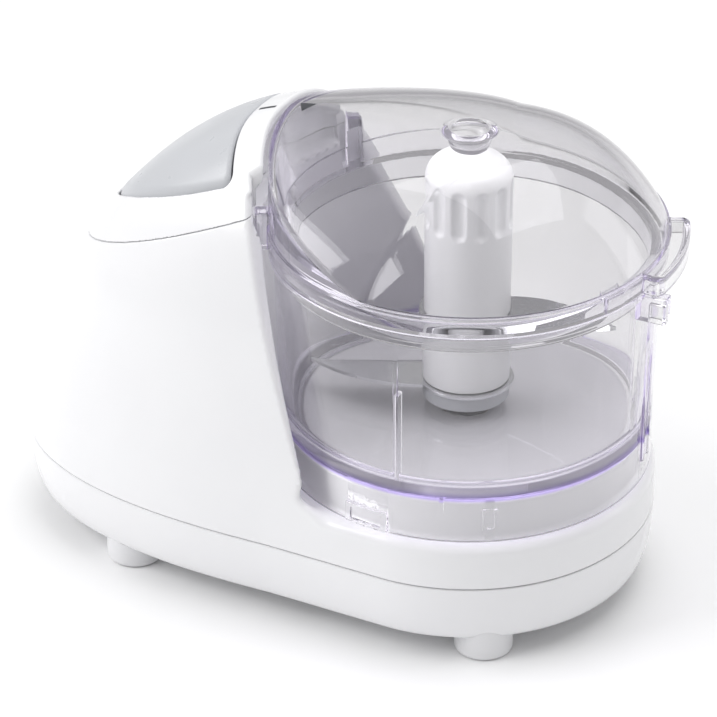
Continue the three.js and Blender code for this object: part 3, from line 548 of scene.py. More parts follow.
# ---- Turned and swept pieces ----
def rounded(points, steps=5):
    """A closed (r, z) outline from (r, z, corner radius) points."""
    out = []
    count = len(points)
    for i, (r, z, radius) in enumerate(points):
        here = Vector((r, z))
        if radius <= 0:
            out.append((r, z))
            continue
        back = Vector(points[i - 1][:2]) - here
        ahead = Vector(points[(i + 1) % count][:2]) - here
        reach = min(radius, 0.49 * back.length, 0.49 * ahead.length)
        start, end = here + back.normalized() * reach, here + ahead.normalized() * reach
        for k in range(steps + 1):
            t = k / steps
            p = start * (1 - t) ** 2 + here * 2 * t * (1 - t) + end * t * t
            out.append((p.x, p.y))
    return out


def revolve(name, corners, around=96, closed=True):
    """Turns (r, z, corner radius) points round the bowl's axis. An open line starts on it."""
    points, faces, rows = [], [], []
    for r, z in rounded(corners):
        if r < 1e-6:
            rows.append([len(points)] * around)
            points.append((0, 0, z))
            continue
        rows.append(list(range(len(points), len(points) + around)))
        for k in range(around):
            a = 2 * math.pi * k / around
            points.append((r * math.cos(a), r * math.sin(a), z))
    pairs = list(zip(rows, rows[1:] + rows[:1])) if closed else list(zip(rows, rows[1:]))
    for low, high in pairs:
        for k in range(around):
            n = (k + 1) % around
            loop = [low[k], low[n], high[n], high[k]]
            loop = [v for j, v in enumerate(loop) if v != loop[j - 1]]
            if len(loop) > 2:
                faces.append(loop)
    return closed_mesh(name, points, faces)


def union(piece, parts, angle=40):
    """Welds closed parts into a closed piece, as one moulding."""
    for part in parts:
        weld = piece.modifiers.new("weld", "BOOLEAN")
        weld.operation = "UNION"
        weld.solver = "MANIFOLD"
        weld.object = part
    bpy.context.view_layer.update()
    result = piece.evaluated_get(bpy.context.evaluated_depsgraph_get())
    mesh = bpy.data.meshes.new_from_object(result)
    piece.modifiers.clear()
    piece.data = mesh
    for part in parts:
        bpy.data.objects.remove(part)
    mesh.shade_smooth()
    mesh.set_sharp_from_angle(angle=math.radians(angle))
    return piece


def detail(name, field, azimuth, reach, half, low, high, pitch=0.45):
    """A small moulded detail, meshed in a block round an azimuth."""
    a = math.radians(azimuth)
    cx, cy = reach * math.cos(a), reach * math.sin(a)
    box = ((cx - half, cx + half), (cy - half, cy + half), (low, high))
    return level_set(name, field, box, pitch)


# ---- Bowl ----
BOWL_OUTLINE = (
    (6.8, 61, 0.3), (57, 61, 0.3), (58.8, 59.5, 0.8), (58.8, 46, 0.4), (61, 46, 0.6),
    (60.7, 63.2, 0.4), (62.3, 118.4, 0.6), (64, 119.2, 0.5), (64, 121.7, 0.5),
    (60.5, 121.7, 0.5), (60.1, 115.7, 0.8), (58.2, 67.2, 3.5), (54.1, 63.2, 3.5),
    (9.4, 63.2, 0.8), (8.6, 64.4, 0.8), (8.2, 86, 0.5), (6.8, 86, 0.4),
)


# A detail on the bowl or lid: azimuth in degrees, half its width, two radii and two heights.
Detail = namedtuple("Detail", "azimuth half inner outer low high")
RIB = Detail(-88, 0.8, 55.4, 60.2, 63, 97)
LOOP = Detail(4, 3.4, 59.5, 61.9, 54, 95.5)
LOOP_WELL = Detail(4, 2.0, 61.0, 61.9, 54, 94)
LUG = Detail(-97, 7.2, 60.2, 62.3, 46.6, 54)  # its half width is in degrees
LUG_WELL = Detail(-97, 5.6, 61.2, 62.3, 48.3, 52.4)
TICK = Detail(-73.5, 0.7, 59.8, 61.6, 57, 62.4)
ARCH = Detail(-59, 2.4, 60, 61.7, 49.5, 58.5)
ARCH_WELL = Detail(-59, 1.3, 61.2, 61.7, 51.5, 58.5)
CATCH_X, CATCH_Y, CATCH_LENGTH, CATCH_WIDTH = 66.2, -7.5, 10.4, 5.0
CATCH_LOW, CATCH_HIGH = 112, 121.2
CATCH_WELL_X, CATCH_WELL_LENGTH, CATCH_WELL_WIDTH, CATCH_WELL_HIGH = 67.8, 4.8, 2.6, 118.6


def inner_rib(x, y, z):
    """The upright rib inside the bowl's front."""
    along, across = polar(x, y, RIB.azimuth)
    bar = both(np.abs(across) - RIB.half, RIB.inner - along, 0.5)
    bar = both(bar, along - RIB.outer)
    return both(both(bar, z - RIB.high, 0.8), RIB.low - z)


def outer_loop(x, y, z):
    """The tall hollow rib outside the bowl's right end."""
    along, across = polar(x, y, LOOP.azimuth)
    bar = both(np.abs(across) - LOOP.half, along - LOOP.outer, 0.6)
    bar = both(bar, LOOP.inner - along)
    well = both(np.abs(across) - LOOP_WELL.half, LOOP_WELL.inner - along, 0.4)
    bar = both(bar, -both(well, z - LOOP_WELL.high), 0.4)
    return both(both(bar, z - LOOP.high, 1.5), LOOP.low - z)


def catch(x, y, z):
    """The block under the lid's lip, hollow from below."""
    across = np.abs(y - CATCH_Y)
    block = both(np.abs(x - CATCH_X) - CATCH_LENGTH / 2, across - CATCH_WIDTH / 2, 0.9)
    block = both(both(block, z - CATCH_HIGH, 0.5), CATCH_LOW - z, 0.9)
    well = np.abs(x - CATCH_WELL_X) - CATCH_WELL_LENGTH / 2
    well = both(well, across - CATCH_WELL_WIDTH / 2, 0.6)
    return both(block, -both(well, z - CATCH_WELL_HIGH, 0.6), 0.4)


def lock_lug(x, y, z):
    """The shallow frame low on the skirt's front."""
    rim = sector(x, y, LUG.inner, LUG.outer, LUG.azimuth, LUG.half, 0.5)
    rim = both(both(rim, z - LUG.high, 0.6), LUG.low - z, 0.6)
    along, across = polar(x, y, LUG_WELL.azimuth)
    well = both(np.abs(across) - LUG_WELL.half, LUG_WELL.inner - along, 0.3)
    well = both(both(well, z - LUG_WELL.high, 0.6), LUG_WELL.low - z, 0.6)
    return both(rim, -well, 0.3)


def level_tick(x, y, z):
    """The small upright bar at the skirt's top."""
    along, across = polar(x, y, TICK.azimuth)
    bar = both(np.abs(across) - TICK.half, along - TICK.outer, 0.4)
    bar = both(both(bar, TICK.inner - along), z - TICK.high, 0.5)
    return both(bar, TICK.low - z, 0.5)


def skirt_loop(x, y, z):
    """The U-shaped bead on the skirt."""
    along, across = polar(x, y, ARCH.azimuth)
    bar = both(np.abs(across) - ARCH.half, along - ARCH.outer, 0.5)
    bar = both(bar, ARCH.inner - along)
    well = both(np.abs(across) - ARCH_WELL.half, ARCH_WELL.low - z, 0.6)
    bar = both(bar, -both(well, ARCH_WELL.inner - along), 0.3)
    return both(both(bar, z - ARCH.high, 0.4), ARCH.low - z, 1.5)


made["bowl"] = union(
    revolve("clear_bowl", BOWL_OUTLINE, 256),
    [
        detail("part_rib", inner_rib, RIB.azimuth, 58, 5, 62, 98, 0.4),
        detail("part_loop", outer_loop, LOOP.azimuth, 61, 6, 53, 97, 0.4),
        detail("part_catch", catch, -6.5, 66.6, 7, 110.5, 122.5, 0.4),
        detail("part_lug", lock_lug, LUG.azimuth, 61, 10, 46, 55, 0.4),
        detail("part_tick", level_tick, TICK.azimuth, 60.6, 3, 56, 63.4, 0.3),
        detail("part_u", skirt_loop, ARCH.azimuth, 60.8, 4, 49, 59.5, 0.35),
    ],
)

# ---- Lid ----
LID_R = 63.5
LID_WALL = 2.0
HOOD_RISE, HOOD_SPAN, HOOD_SOFT, HOOD_POWER = 27.3, 82.4, 8.0, 0.775
CROWN_X, CROWN_RISE, CROWN_POWER, CROWN_ROOT = 16.0, 33.0, 2.57, 1.05
CUP_FLOOR_Z = 155.8


def hood_rise(azimuth):
    """How far the wall's top climbs above the rim, most at the tower."""
    away = 180 - abs(azimuth)
    run = (math.hypot(away, HOOD_SOFT) - HOOD_SOFT) / (math.hypot(HOOD_SPAN, HOOD_SOFT) - HOOD_SOFT)
    return HOOD_RISE * max(0.0, 1 - run) ** HOOD_POWER


def dome_z(x, y, inset):
    """Height of the dome, whose level lines shrink from the rim circle to the crown."""
    radius = LID_R - inset
    dx = x - CROWN_X
    spread = radius ** 2 - CROWN_X ** 2
    root = math.sqrt((CROWN_X * dx) ** 2 + spread * (dx * dx + y * y))
    s = min(1.0, (CROWN_X * dx + root) / spread)
    edge_x, edge_y = dx / max(s, 1e-6) + CROWN_X, y / max(s, 1e-6)
    rise = hood_rise(math.degrees(math.atan2(edge_y, edge_x))) if s > 1e-3 else 0
    swell = (1 - s ** CROWN_POWER) ** (1 / CROWN_ROOT)
    return RIM_Z - inset + rise + (CROWN_RISE - rise) * swell


def dome_run(a, inset, inner, steps):
    """From the top of the wall over the dome to a circle about the axis, at azimuth a."""
    radius = LID_R - inset
    wall_top = RIM_Z - inset + hood_rise(math.degrees(a))
    ease = min(1.6, 0.25 * (wall_top - RIM_Z + inset) + 0.25)

    def dome(r):
        return Vector((r, dome_z(r * math.cos(a), r * math.sin(a), inset)))

    corner = Vector((radius, wall_top))
    low = corner - Vector((0, ease))
    over = dome(radius - ease)
    run = [low * (1 - t) ** 2 + corner * 2 * t * (1 - t) + over * t * t
           for t in (0, 0.2, 0.4, 0.6, 0.8, 1)]
    for k in range(1, steps + 1):
        t = k / steps
        run.append(dome(radius - ease + (inner - radius + ease) * t))
    return [tuple(p) for p in run]


def lid_outline(a, steps=44):
    """The lid's closed section at azimuth a, from the plug's foot to the cup and back inside."""
    rim = rounded((
        (57.8, 124.0, 1.0), (57.8, 115.0, 0.5), (59.6, 115.0, 0.6), (59.6, 122.0, 0.4),
        (64.3, 122.0, 0.7), (64.3, 128.6, 0.5), (LID_R, 129.0, 0.3), (61.5, 150, 0),
    ))[:-1]
    outside = dome_run(a, 0.0, 6.9, steps)
    mouth = dome_z(6.2 * math.cos(a), 6.2 * math.sin(a), 0.0)
    cup = [(6.5, mouth - 0.1), (6.2, mouth - 0.5), (6.0, mouth - 1.2), (5.5, 158.5),
           (5.1, CUP_FLOOR_Z + 0.9), (4.9, CUP_FLOOR_Z + 0.3), (4.3, CUP_FLOOR_Z)]
    under = [(5.2, 154.2), (6.0, 154.35), (6.4, 155.0), (7.2, 157.2)]
    inside = dome_run(a, LID_WALL, 8.4, steps)[::-1]
    return rim + outside + cup, under + inside


def lid_shell(around=288):
    """Rim, wall, dome and drip cup as one closed shell, built from its sections."""
    points, faces = [], []
    outer_rows, inner_rows = [], []
    for k in range(around):
        a = 2 * math.pi * k / around - math.pi
        for rows, outline in zip((outer_rows, inner_rows), lid_outline(a)):
            rows.append(list(range(len(points), len(points) + len(outline))))
            points += [(r * math.cos(a), r * math.sin(a), z) for r, z in outline]
    top, bottom = len(points), len(points) + 1
    points += [(0, 0, CUP_FLOOR_Z), (0, 0, CUP_FLOOR_Z - 1.6)]
    for k in range(around):
        n = (k + 1) % around
        for rows in (outer_rows, inner_rows):
            for here, after in zip(zip(rows[k], rows[k][1:]), zip(rows[n], rows[n][1:])):
                faces.append([here[0], after[0], after[1], here[1]])
        faces.append([outer_rows[k][-1], outer_rows[n][-1], top])
        faces.append([inner_rows[n][0], inner_rows[k][0], bottom])
        faces.append([inner_rows[k][-1], inner_rows[n][-1], outer_rows[n][0], outer_rows[k][0]])
    return closed_mesh("clear_lid", points, faces)


# Spans here are in degrees.
LIP = Detail(9, 18, 62.6, 70.5, 122.0, RIM_Z)
LIP_HOLLOW = Detail(9, 16.6, 50, 68.7, 122.0, RIM_Z - 2.4)
STOP = Detail(-22, 3.5, 61, 65.2, 122.6, 128.4)
TAB_HALF, TAB_IN, TAB_OUT, TAB_LOW, TAB_HIGH = 3.2, 62.3, 68, 122, 135


def lip(x, y, z):
    """The finger lip over the catch: a plate with a skirt, open below."""
    plate = sector(x, y, LIP.inner, LIP.outer, LIP.azimuth, LIP.half, 3.4)
    plate = both(plate, z - LIP.high, 0.9)
    inner = LIP_HOLLOW
    hollow = sector(x, y, inner.inner, inner.outer, inner.azimuth, inner.half, 1.0)
    hollow = both(hollow, z - inner.high, 0.8)
    return both(both(plate, -hollow, 0.5), LIP.low - z, 0.6)


def lid_tab(azimuth):
    """A locking tab on the rim, which goes into a slot of the tower."""
    def field(x, y, z):
        along, across = polar(x, y, azimuth)
        bar = both(both(np.abs(across) - TAB_HALF, along - TAB_OUT, 0.8), TAB_IN - along)
        return both(both(bar, z - TAB_HIGH, 1.2), TAB_LOW - z, 0.8)
    return field


def rim_stop(x, y, z):
    """The small block on the rim, at the front right."""
    block = sector(x, y, STOP.inner, STOP.outer, STOP.azimuth, STOP.half, 0.5)
    return both(both(block, z - STOP.high, 0.5), STOP.low - z, 0.5)


made["lid"] = union(
    lid_shell(),
    [
        detail("part_lip", lip, LIP.azimuth, 66, 24, 120.5, 130),
        detail("part_stop", rim_stop, STOP.azimuth, 63, 6, 121.5, 129.5, 0.4),
        *(
            detail(f"part_tab_{azimuth}", lid_tab(azimuth), azimuth, 65, 7, 121, 136)
            for azimuth in TAB_AZIMUTHS
        ),
    ],
)


# ---- Hub, blades and feet ----
HUB_R, HUB_CORE_R, HUB_LOW, HUB_CORE_HIGH, HUB_HIGH = 14.0, 12.4, 66.2, 120, 153.5
SHOULDER_Z, SHOULDER_OUT, SHOULDER_UP = 147.4, 0.573, 0.819
FLUTE_PITCH, FLUTE_TURN = math.radians(30), math.radians(10.5 - 15)
FLUTE_R, FLUTE_RING_R, FLUTE_LOW, FLUTE_HIGH = 3.0, 15.7, 130, 142
BORE_R, BORE_HIGH = 9.2, 87.4
HEX_ACROSS, HEX_HIGH = 10.2, 103
LOW_BLADE_Z, HIGH_BLADE_Z, BLADE_THICK = 72.0, 95.6, 1.2


def hexagon(x, y, half_across):
    """Distance to a hexagon round the axis, with a corner on X."""
    turn = np.abs((np.arctan2(y, x) % (math.pi / 3)) - math.pi / 6)
    return np.hypot(x, y) * np.cos(turn) - half_across


def blade_hub(x, y, z):
    """Hub on its core: a sloped shoulder, twelve flutes, a tube bore and a hexagon socket."""
    r = np.hypot(x, y)
    side = both(r - HUB_R, HIGH_BLADE_Z + BLADE_THICK + 0.3 - z, 0.3)
    side = both(side, SHOULDER_OUT * (r - HUB_R) + SHOULDER_UP * (z - SHOULDER_Z), 2.6)
    side = both(side, z - HUB_HIGH, 1.4)
    core = both(r - HUB_CORE_R, HUB_LOW - z, 0.4)
    core = both(core, z - HUB_CORE_HIGH)
    body = either(core, side)
    turn = (np.arctan2(y, x) - FLUTE_TURN) % FLUTE_PITCH - FLUTE_PITCH / 2
    out, off = r * np.cos(turn) - FLUTE_RING_R, r * np.sin(turn)
    mid = np.clip(z, FLUTE_LOW, FLUTE_HIGH) - z
    groove = np.sqrt(out ** 2 + off ** 2 + mid ** 2) - FLUTE_R
    body = both(body, -groove, 0.5)
    bore = both(r - BORE_R, z - BORE_HIGH, 1.0)
    socket = both(hexagon(x, y, HEX_ACROSS / 2), z - HEX_HIGH, 0.4)
    return both(body, -either(bore, socket), 0.3)


made["blade_hub"] = level_set(
    "hub_body", blade_hub, ((-14.8, 14.8), (-14.8, 14.8), (65, 154.6)), FINE,
)
made["blade_spacer"] = revolve("hub_sleeve", (
    (12.7, 73.5, 0.3), (14, 73.5, 0.4), (14, 95.3, 0.4), (12.7, 95.3, 0.3),
))
made["hub_nut"] = revolve("hub_nut_ring", (
    (12.7, 66.2, 0.3), (14, 66.2, 0.8), (14, 71.7, 0.4), (12.7, 71.7, 0.3),
))


BLADE_END = 0.985    # how far along its curves the blade goes: they meet in a point at 1
TIP_Y = -6
BACK_ROOT, BACK_MID = (8, 7), (0.6, 11.5)    # a mid point's X is a share of the reach
EDGE_ROOT, EDGE_MID = (2, -13.2), (0.62, -9.5)
GROUND_WIDTH, GROUND_SHARE, EDGE_THICK = 3.2, 0.45, 0.15
BLADE_CREASE = 15    # degrees


def bezier(p0, p1, p2, t):
    """A point on a quadratic curve."""
    return [p0[k] * (1 - t) ** 2 + p1[k] * 2 * t * (1 - t) + p2[k] * t * t for k in (0, 1)]


def blade(name, z, turn, reach, steps=40):
    """A hooked blade: flat below, ground to an edge along its leading side."""
    points, faces = [], []
    for k in range(steps):
        t = BLADE_END * k / (steps - 1)
        back = bezier(BACK_ROOT, (reach * BACK_MID[0], BACK_MID[1]), (reach, TIP_Y), t)
        edge = bezier(EDGE_ROOT, (reach * EDGE_MID[0], EDGE_MID[1]), (reach, TIP_Y), t)
        width = math.dist(back, edge)
        ground = min(GROUND_WIDTH, GROUND_SHARE * width) / width
        ridge = [edge[i] + (back[i] - edge[i]) * ground for i in (0, 1)]
        top = z + BLADE_THICK
        section = ((back, z), (edge, z), (edge, z + EDGE_THICK), (ridge, top), (back, top))
        points += [(x, y, level) for (x, y), level in section]
    for k in range(steps - 1):
        for i in range(5):
            j = (i + 1) % 5
            faces.append([5 * k + i, 5 * k + j, 5 * k + 5 + j, 5 * k + 5 + i])
    faces.append([4, 3, 2, 1, 0])
    faces.append([5 * steps - 5 + i for i in range(5)])
    wing = closed_mesh("part_wing", points, faces, BLADE_CREASE)
    collar = revolve(name, (
        (12.7, z, 0), (15.6, z, 0.2), (15.6, z + BLADE_THICK, 0.2), (12.7, z + BLADE_THICK, 0),
    ))
    core = revolve("part_core", (
        (0, z - 3, 0), (12.7, z - 3, 0), (12.7, z + 4, 0), (0, z + 4, 0),
    ))
    cutter = wing.modifiers.new("bore", "BOOLEAN")
    cutter.operation = "DIFFERENCE"
    cutter.solver = "MANIFOLD"
    cutter.object = core
    union(wing, [])
    bpy.data.objects.remove(core)
    piece = union(collar, [wing], BLADE_CREASE)
    spin = math.radians(turn)
    for v in piece.data.vertices:
        x, y = v.co.x - AXIS_X * MM, v.co.y
        v.co.x = AXIS_X * MM + x * math.cos(spin) - y * math.sin(spin)
        v.co.y = x * math.sin(spin) + y * math.cos(spin)
    return piece


made["lower_blade"] = blade("blade_low", LOW_BLADE_Z, 200, 52)
made["upper_blade"] = blade("blade_high", HIGH_BLADE_Z, 20, 48)

for node, (cx, cy) in FEET.items():
    foot_box = ((cx - 10.6, cx + 10.6), (cy - 10.6, cy + 10.6), (-1, 16))
    made[node] = level_set(f"rubber_{node}", foot(cx, cy), foot_box, 0.5)


# ---- Alignment marks ----
MARK_PROUD, MARK_DEPTH = 0.03, 0.35
LINE_X, LINE_Y, LINE_LENGTH, LINE_WIDTH = -70.1, -1.2, 6.1, 1.64
ARROW_CORNERS = ((-59.6, 1.35), (-53.9, 1.35), (-56.6, -4.1))


def line_mark(x, y, z):
    """The short printed line on the band."""
    skin = egg(x, y, z)
    bar = both(np.abs(x - LINE_X) - LINE_LENGTH / 2, np.abs(y - LINE_Y) - LINE_WIDTH / 2, 0.4)
    return both(bar, np.maximum(skin - MARK_PROUD, -skin - MARK_DEPTH))


made["line_mark"] = level_set(
    "mark_line", line_mark, ((-73.6, -66.6), (-2.3, -0.1), (148, 162)), 0.16,
)


def arrow_mark(corners, steps=14):
    """A thin triangle laid on the lid's dome."""
    (ax, ay), (bx, by), (cx, cy) = corners
    points, faces, at = [], [], {}
    for i in range(steps + 1):
        for j in range(steps + 1 - i):
            u, v = i / steps, j / steps
            x = ax + (bx - ax) * u + (cx - ax) * v
            y = ay + (by - ay) * u + (cy - ay) * v
            at[i, j] = len(points)
            top = dome_z(x, y, 0.0)
            points += [(x, y, top + MARK_PROUD), (x, y, top - MARK_DEPTH)]
    for i in range(steps):
        for j in range(steps - i):
            cells = [(at[i, j], at[i + 1, j], at[i, j + 1])]
            if i + j < steps - 1:
                cells.append((at[i + 1, j], at[i + 1, j + 1], at[i, j + 1]))
            for a, b, c in cells:
                faces += [[a, b, c], [c + 1, b + 1, a + 1]]
    edge = [at[i, 0] for i in range(steps)] + [at[steps - j, j] for j in range(steps)]
    edge += [at[0, steps - j] for j in range(steps)]
    for a, b in zip(edge, edge[1:] + edge[:1]):
        faces.append([b, a, a + 1, b + 1])
    return closed_mesh("mark_arrow", points, faces)


made["arrow_mark"] = arrow_mark(ARROW_CORNERS)


# ---- Drive, interlock pin and cord inlet ----
DOG_R, DOG_ROUND_R, DOG_LOW, DOG_HIGH = 5.4, 5.2, 86.6, 102.0
DOG_BORE_R, DOG_BORE_HIGH = 3.3, 101


def drive_dog(x, y, z):
    """The hexagon that turns the hub, on the spindle's end."""
    r = np.hypot(x, y)
    flats = both(hexagon(x, y, DOG_R * math.cos(math.pi / 6)), r - DOG_ROUND_R, 0.2)
    body = both(flats, np.maximum(z - DOG_HIGH, DOG_LOW - z), 0.6)
    return both(body, -both(r - DOG_BORE_R, z - DOG_BORE_HIGH), 0.2)


def turned_to(piece, axis, at):
    """Lays a piece turned round the bowl's axis along x or y, with its origin at a point."""
    centre = Vector(((at[0] + AXIS_X) * MM, at[1] * MM, at[2] * MM))
    for v in piece.data.vertices:
        x, y, z = v.co.x - AXIS_X * MM, v.co.y, v.co.z
        v.co = centre + (Vector((z, y, -x)) if axis == "x" else Vector((x, z, -y)))
    return piece


made["drive_dog"] = level_set("drive_hexagon", drive_dog, ((-6, 6), (-6, 6), (86, 102.8)), 0.4)
made["drive_spindle"] = revolve("drive_shaft", (
    (0, 13.2, 0), (4, 13.2, 0.4), (4, 15, 0), (6, 15, 0.2), (6, 17.7, 0.2), (4, 17.7, 0),
    (4, 86.3, 0.4), (3, 86.3, 0), (3, 100.5, 0.3), (0, 100.5, 0),
), closed=False)
made["spindle_seal"] = revolve("shaft_seal", (
    (4.1, 60, 0), (8, 60, 0.1), (8, 60.8, 0.3), (6.9, 60.8, 0.15), (6.6, 60.45, 0.1),
    (5.4, 60.45, 0.1), (5, 60.8, 0.15), (4.1, 60.8, 0.1),
))
made["interlock_pin"] = turned_to(revolve("lock_plunger", (
    (0, -74, 0), (3.2, -74, 0.3), (3.2, -72.5, 0.3), (2, -72.5, 0), (2, -65, 0.9), (0, -65, 0),
), 64, closed=False), "x", (0, 0, PIN_Z))
made["cord_inlet"] = turned_to(revolve("inlet_bush", (
    (2.6, -7, 0.2), (5, -7, 0.3), (5, -0.4, 0.1), (6.6, 0, 0.2), (6.6, 1.6, 0.6),
    (5.8, 2.4, 0.4), (2.6, 2.4, 0.6),
)), "y", INLET_AT)

# ---- Button springs ----
SPRINGS = {
    "button_spring_front": (SPRING_X, -SPRING_Y),
    "button_spring_back": (SPRING_X, SPRING_Y),
}
SPRING_R, SPRING_WIRE, SPRING_TURNS = 3.4, 0.45, 4
SPRING_LOW, SPRING_HIGH = 119.8, 138.0


def coil(name, x, y, steps=36, sides=10):
    """A compression spring of round wire."""
    points, faces = [], []
    count = SPRING_TURNS * steps
    rise = (SPRING_HIGH - SPRING_LOW - 2 * SPRING_WIRE) / count
    for k in range(count + 1):
        a = 2 * math.pi * k / steps
        out = Vector((math.cos(a), math.sin(a), 0))
        along = Vector((-math.sin(a), math.cos(a), rise * steps / (2 * math.pi * SPRING_R)))
        up = out.cross(along).normalized()
        centre = Vector((x, y, SPRING_LOW + SPRING_WIRE + rise * k)) + out * SPRING_R
        for j in range(sides):
            b = 2 * math.pi * j / sides
            points.append(tuple(centre + (out * math.cos(b) + up * math.sin(b)) * SPRING_WIRE))
    for k in range(count):
        for j in range(sides):
            n = (j + 1) % sides
            low, high = k * sides, (k + 1) * sides
            faces.append([low + j, low + n, high + n, high + j])
    faces.append(list(range(sides)))
    faces.append([count * sides + j for j in range(sides)])
    return closed_mesh(name, points, faces)


for node, (cx, cy) in SPRINGS.items():
    made[node] = coil(f"coil_{node}", cx, cy)


# ---- Materials ----
class Shader:
    """A Principled material with helpers for its procedural inputs."""

    def __init__(self, name, **plain):
        self.material = bpy.data.materials.new(name)
        self.material.use_nodes = True
        self.nodes = self.material.node_tree.nodes
        self.links = self.material.node_tree.links
        self.bsdf = self.nodes["Principled BSDF"]
        self.output = self.nodes["Material Output"]
        for key, value in plain.items():
            self.bsdf.inputs[key.replace("_", " ")].default_value = value
        self.place = self.node("ShaderNodeTexCoord", {}).outputs["Object"]

    def node(self, kind, inputs, **settings):
        """A new node: its settings, then each input as a plain value or a link."""
        node = self.nodes.new(kind)
        for key, value in settings.items():
            setattr(node, key, value)
        for key, value in inputs.items():
            if isinstance(value, bpy.types.NodeSocket):
                self.links.new(value, node.inputs[key])
            else:
                node.inputs[key].default_value = value
        return node

    def noise(self, scale, detail, stretch=None):
        at = self.place
        if stretch:
            at = self.node("ShaderNodeMapping", {"Vector": at, "Scale": stretch}).outputs["Vector"]
        inputs = {"Vector": at, "Scale": scale, "Detail": detail, "Roughness": 0.5}
        return self.node("ShaderNodeTexNoise", inputs).outputs["Fac"]

    def colour(self, factor, stops):
        node = self.node("ShaderNodeValToRGB", {"Fac": factor})
        ramp_stops = node.color_ramp.elements
        for stop, (place, rgb) in zip(ramp_stops, stops):
            stop.position = place
            stop.color = (*rgb, 1)
        self.links.new(node.outputs["Color"], self.bsdf.inputs["Base Color"])

    def roughness(self, factor, low, high):
        spread = {"Value": factor, "From Min": 0.3, "From Max": 0.7, "To Min": low, "To Max": high}
        node = self.node("ShaderNodeMapRange", spread)
        self.links.new(node.outputs["Result"], self.bsdf.inputs["Roughness"])

    def bump(self, factor, depth):
        skin = {"Strength": 1.0, "Distance": depth, "Height": factor}
        node = self.node("ShaderNodeBump", skin)
        self.links.new(node.outputs["Normal"], self.bsdf.inputs["Normal"])


def moulded(name, light, dark, rough, grain, depth, **plain):
    """Moulded plastic: a faint flow mottle, uneven gloss and a fine skin."""
    shader = Shader(name, **plain)
    shader.colour(shader.noise(34, 4), ((0.3, dark), (0.7, light)))
    shader.roughness(shader.noise(80, 3), *rough)
    shader.bump(shader.noise(grain, 2), depth)
    return shader.material


# Bounds and colour of a violet ring painted on the bowl: painted light for the tint of light
# refracted through its thick foot, not the plastic's own colour.
RING_OUT, RING_RISE, RING_FALL = (55.5, 58.0), (60.6, 61.4), (64.6, 62.8)
PAINTED_RING_VIOLET = (0.3, 0.22, 0.62, 1)


def painted_ring_tint(shader):
    """Violet painted into the base colour over the thick ring where the bowl's wall meets its
    floor: painted light, standing in for the tint that light picks up as it refracts through that
    thickness; the plastic itself is one even tint.
    """
    flat = shader.node(
        "ShaderNodeVectorMath",
        {0: shader.place, 1: (1, 1, 0), 2: (-AXIS_X * MM, 0, 0)},
        operation="MULTIPLY_ADD",
    ).outputs["Vector"]
    out = shader.node("ShaderNodeVectorMath", {0: flat}, operation="LENGTH").outputs["Value"]
    up = shader.node("ShaderNodeSeparateXYZ", {"Vector": shader.place}).outputs["Z"]
    inside = 1.0
    for source, (low, high) in ((out, RING_OUT), (up, RING_RISE), (up, RING_FALL)):
        span = {"Value": source, "From Min": low * MM, "From Max": high * MM}
        mask = shader.node("ShaderNodeMapRange", span).outputs["Result"]
        product = shader.node("ShaderNodeMath", {0: mask, 1: inside}, operation="MULTIPLY")
        inside = product.outputs["Value"]
    # The mask is mixed into the base colour, so the painted violet covers the ring.
    base = shader.bsdf.inputs["Base Color"]
    shades = {"Factor": inside, "A": base.links[0].from_socket, "B": PAINTED_RING_VIOLET}
    mix = shader.node("ShaderNodeMix", shades, data_type="RGBA")
    shader.links.new(mix.outputs["Result"], base)


DEEP_BOUNCES = 3.5
CLEAR_SHADES = ((0.3, (0.86, 0.86, 0.855)), (0.7, (0.89, 0.89, 0.885)))
CLEAR_ROUGHNESS = (0.006, 0.02)
CLEAR_RIPPLE = 0.000004


def clear(name, tint, density, passing, deep):
    """Clear plastic: tinted by its thickness, with a painted violet ring at the bowl's foot
    standing in for refracted light, letting lamps through, and calm in deep corners.
    """
    shader = Shader(name, Transmission_Weight=1.0, IOR=1.49)
    shader.colour(shader.noise(22, 3), CLEAR_SHADES)
    shader.roughness(shader.noise(60, 4), *CLEAR_ROUGHNESS)
    shader.bump(shader.noise(240, 2), CLEAR_RIPPLE)
    # Painted light: violet painted over the thick ring at the bowl's foot.
    painted_ring_tint(shader)
    path = shader.node("ShaderNodeLightPath", {}).outputs
    far = shader.node(
        "ShaderNodeMath", {0: path["Ray Depth"], 1: DEEP_BOUNCES}, operation="GREATER_THAN",
    ).outputs["Value"]
    surface = shader.bsdf.outputs["BSDF"]
    for factor, colour in ((far, deep), (path["Is Shadow Ray"], passing)):
        thin = shader.node("ShaderNodeBsdfTransparent", {"Color": (*colour, 1)}).outputs["BSDF"]
        mix = shader.node("ShaderNodeMixShader", {"Fac": factor, 1: surface, 2: thin})
        surface = mix.outputs["Shader"]
    shader.links.new(surface, shader.output.inputs["Surface"])
    volume = {"Color": (*tint, 1), "Density": density}
    volume = shader.node("ShaderNodeVolumeAbsorption", volume).outputs["Volume"]
    shader.links.new(volume, shader.output.inputs["Volume"])
    return shader.material


METAL_DEPTH = 0.00001


def metal(name, light, dark, rough, stretch, scale):
    """Bare metal with tool marks running along one axis."""
    shader = Shader(name, Metallic=1.0)
    shader.colour(shader.noise(120, 4, stretch=stretch), ((0.3, dark), (0.7, light)))
    shader.roughness(shader.noise(scale, 3, stretch=stretch), *rough)
    shader.bump(shader.noise(scale, 4, stretch=stretch), METAL_DEPTH)
    return shader.material


